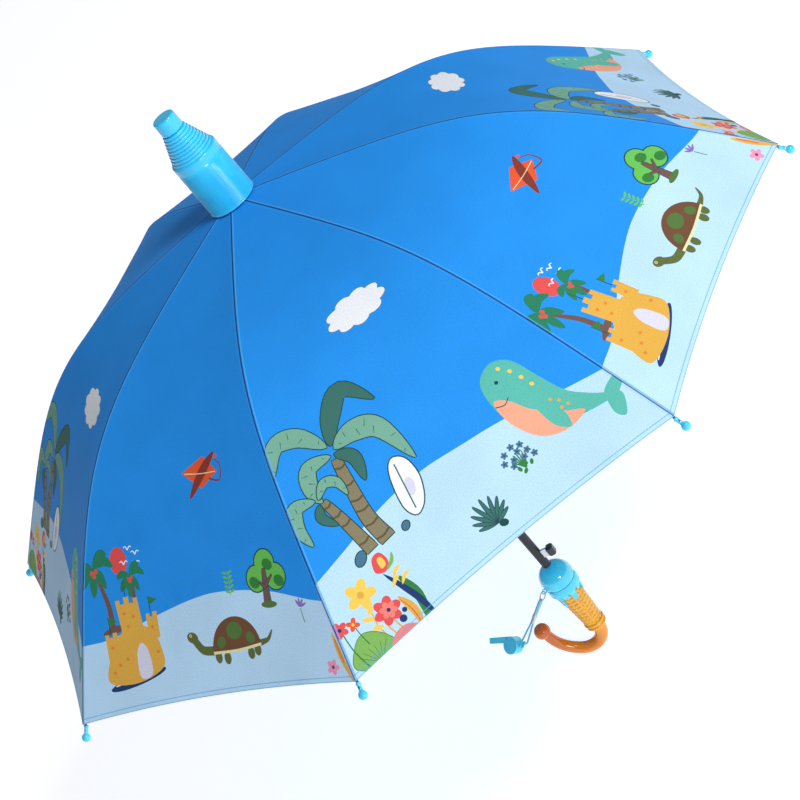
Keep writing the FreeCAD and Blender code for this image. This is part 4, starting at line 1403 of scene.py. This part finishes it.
def make_braid_and_crimp():
    lengths = [7.4, 7.8, 8.4, 9.4, 11.0, 13.0, 15.0, 17.0, 19.0, 21.0, 22.8, 24.2]
    radii = [0.5, 1.3, 1.8, 2.1, 2.2, 2.2, 2.15, 2.15, 2.1, 2.05, 1.9, 1.75]
    braid = swept("lanyard_braid_cord", [on_line(s) for s in lengths], radii, FINISHES["braid"],
                  "whistle_lanyard", "braid_blue", 40, "Cord")
    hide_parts("lanyard_braid")
    outline = [(0.0, 23.6), (2.2, 23.6), (2.45, 23.8), (2.55, 24.4), (2.4, 24.9), (2.3, 25.1), (2.35, 25.4),
               (1.95, 31.0), (1.8, 33.0), (1.7, 33.4), (0.0, 33.4)]
    crimp = turned("lanyard_crimp_sleeve", outline, FINISHES["crimp"], "whistle_lanyard", "crimp_metal", 48,
                   EYELET, DOWN_LINE, 40)
    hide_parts("lanyard_crimp")
    return braid, crimp


def bevelled(piece, width):
    modifier = piece.modifiers.new("Bevel", "BEVEL")
    modifier.width = width * MM
    modifier.segments = 3
    modifier.limit_method = "ANGLE"
    modifier.angle_limit = math.radians(30)
    modifier.use_clamp_overlap = True


def make_whistle():
    """Pea whistle: drum and mouthpiece from one side outline with its air notch, a ring lug behind."""
    lug = on_line(LOOP_END - 1.8 - 1.0 - 0.05) + DOWN_LINE * 3.0
    centre = lug + MOUTH * 13.5
    up = MOUTH.cross(FACE)
    drum_r = 8.8
    low = 2.4
    outline = [(1.2, drum_r), (5.4, 5.0), (5.9, drum_r), (26.0, drum_r - 0.5), (26.9, drum_r - 1.1),
               (26.9, low + 0.5), (26.2, low)]
    outline += arc(0, 0, drum_r, math.degrees(math.asin(low / drum_r)), -270, 40)
    half = 5.25
    vertices = []
    for side in (-half, half):
        for m, u in outline:
            vertices.append(centre + MOUTH * m + up * u + FACE * side)
    n = len(outline)
    faces = [tuple(range(n)), tuple(range(2 * n - 1, n - 1, -1))]
    faces += [(k, (k + 1) % n, n + (k + 1) % n, n + k) for k in range(n)]
    look = (FINISHES["whistle"], "whistle_lanyard", "whistle_blue")
    whistle = link_mesh("whistle_body", vertices, faces, *look)
    with editing(whistle) as work:
        bmesh.ops.recalc_face_normals(work, faces=work.faces)
        ends = [f for f in work.faces if f.normal.dot(MOUTH) > 0.99 and f.calc_area() > 20 * MM * MM]
        bmesh.ops.inset_region(work, faces=ends, thickness=1.3 * MM)
        for face in ends:
            bmesh.ops.translate(work, verts=face.verts, vec=-MOUTH * 5 * MM)
    crisp_edges(whistle, 30)
    bevelled(whistle, 0.55)
    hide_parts("whistle")
    ring_path = []
    for k in range(37):
        a = 2 * math.pi * k / 36
        ring_path.append(lug + (DOWN_LINE * math.cos(a) + SPREAD.cross(DOWN_LINE) * math.sin(a)) * 3.0)
    lug_ring = swept("whistle_lug", ring_path, [1.0] * 37, *look, 20)
    stem_path = [lug + MOUTH * 2.4, lug + MOUTH * 4.2, centre - MOUTH * 8.0, centre - MOUTH * 6.5]
    stem = swept("whistle_stem", stem_path, [1.2, 1.5, 2.0, 2.0], *look, 24)
    return whistle, lug_ring, stem


# ---------------------------------------------------------------- rib tips

def make_tips():
    """Moulded tips: a sleeve over the rod, a waist and a ball."""
    for i in range(RIBS):
        theta = FIRST_RIB + 2 * HALF_GORE * i
        radial = Vector((math.cos(theta), math.sin(theta), 0))
        a = rib_slope(RIB_LENGTH)
        axis = radial * math.cos(a) - Vector((0, 0, math.sin(a)))
        r, z = on_rib(RIB_LENGTH)
        root = radial * (r - 3.5 * math.sin(a)) + Vector((0, 0, z - 3.5 * math.cos(a)))
        outline = [(0.0, 0.8), (1.9, 0.8), (2.15, 1.1), (2.15, 2.6), (1.85, 3.0), (1.75, 6.5), (1.9, 7.8)]
        outline += arc(0, 11.5, 4.0, -56, 88, 18) + [(0.0, 15.5)]
        tip = turned(f"tip_ball_{i + 1}", outline, FINISHES["tip"], f"rod_{i + 1}", "tip_blue", 32, root,
                     axis, 50)
        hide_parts(f"rib_tip_{i + 1}")


loop_cord = make_loop()
braid_cord, crimp_sleeve = make_braid_and_crimp()
whistle_parts = make_whistle()
make_canopy()
make_cover()
make_scoop()
make_icing()
make_cone()
make_crook()
make_tips()

# ---------------------------------------------------------------- finishes of the carried-over nodes

for node, finish in {
    "shaft": "shaft", "ferrule": "steel", "crown": "hub", "crown_wire": "steel", "runner": "hub",
    "lanyard_eyelet": "scoop", "split_ring": "chrome", "open_button": "button", "button_stalk": "stalk",
}.items():
    paint_node(node, finish)
for i in range(1, RIBS + 1):
    for node, finish in (("rib", "rib"), ("rod", "rod"), ("stretcher", "rib")):
        paint_node(f"{node}_{i}", finish)
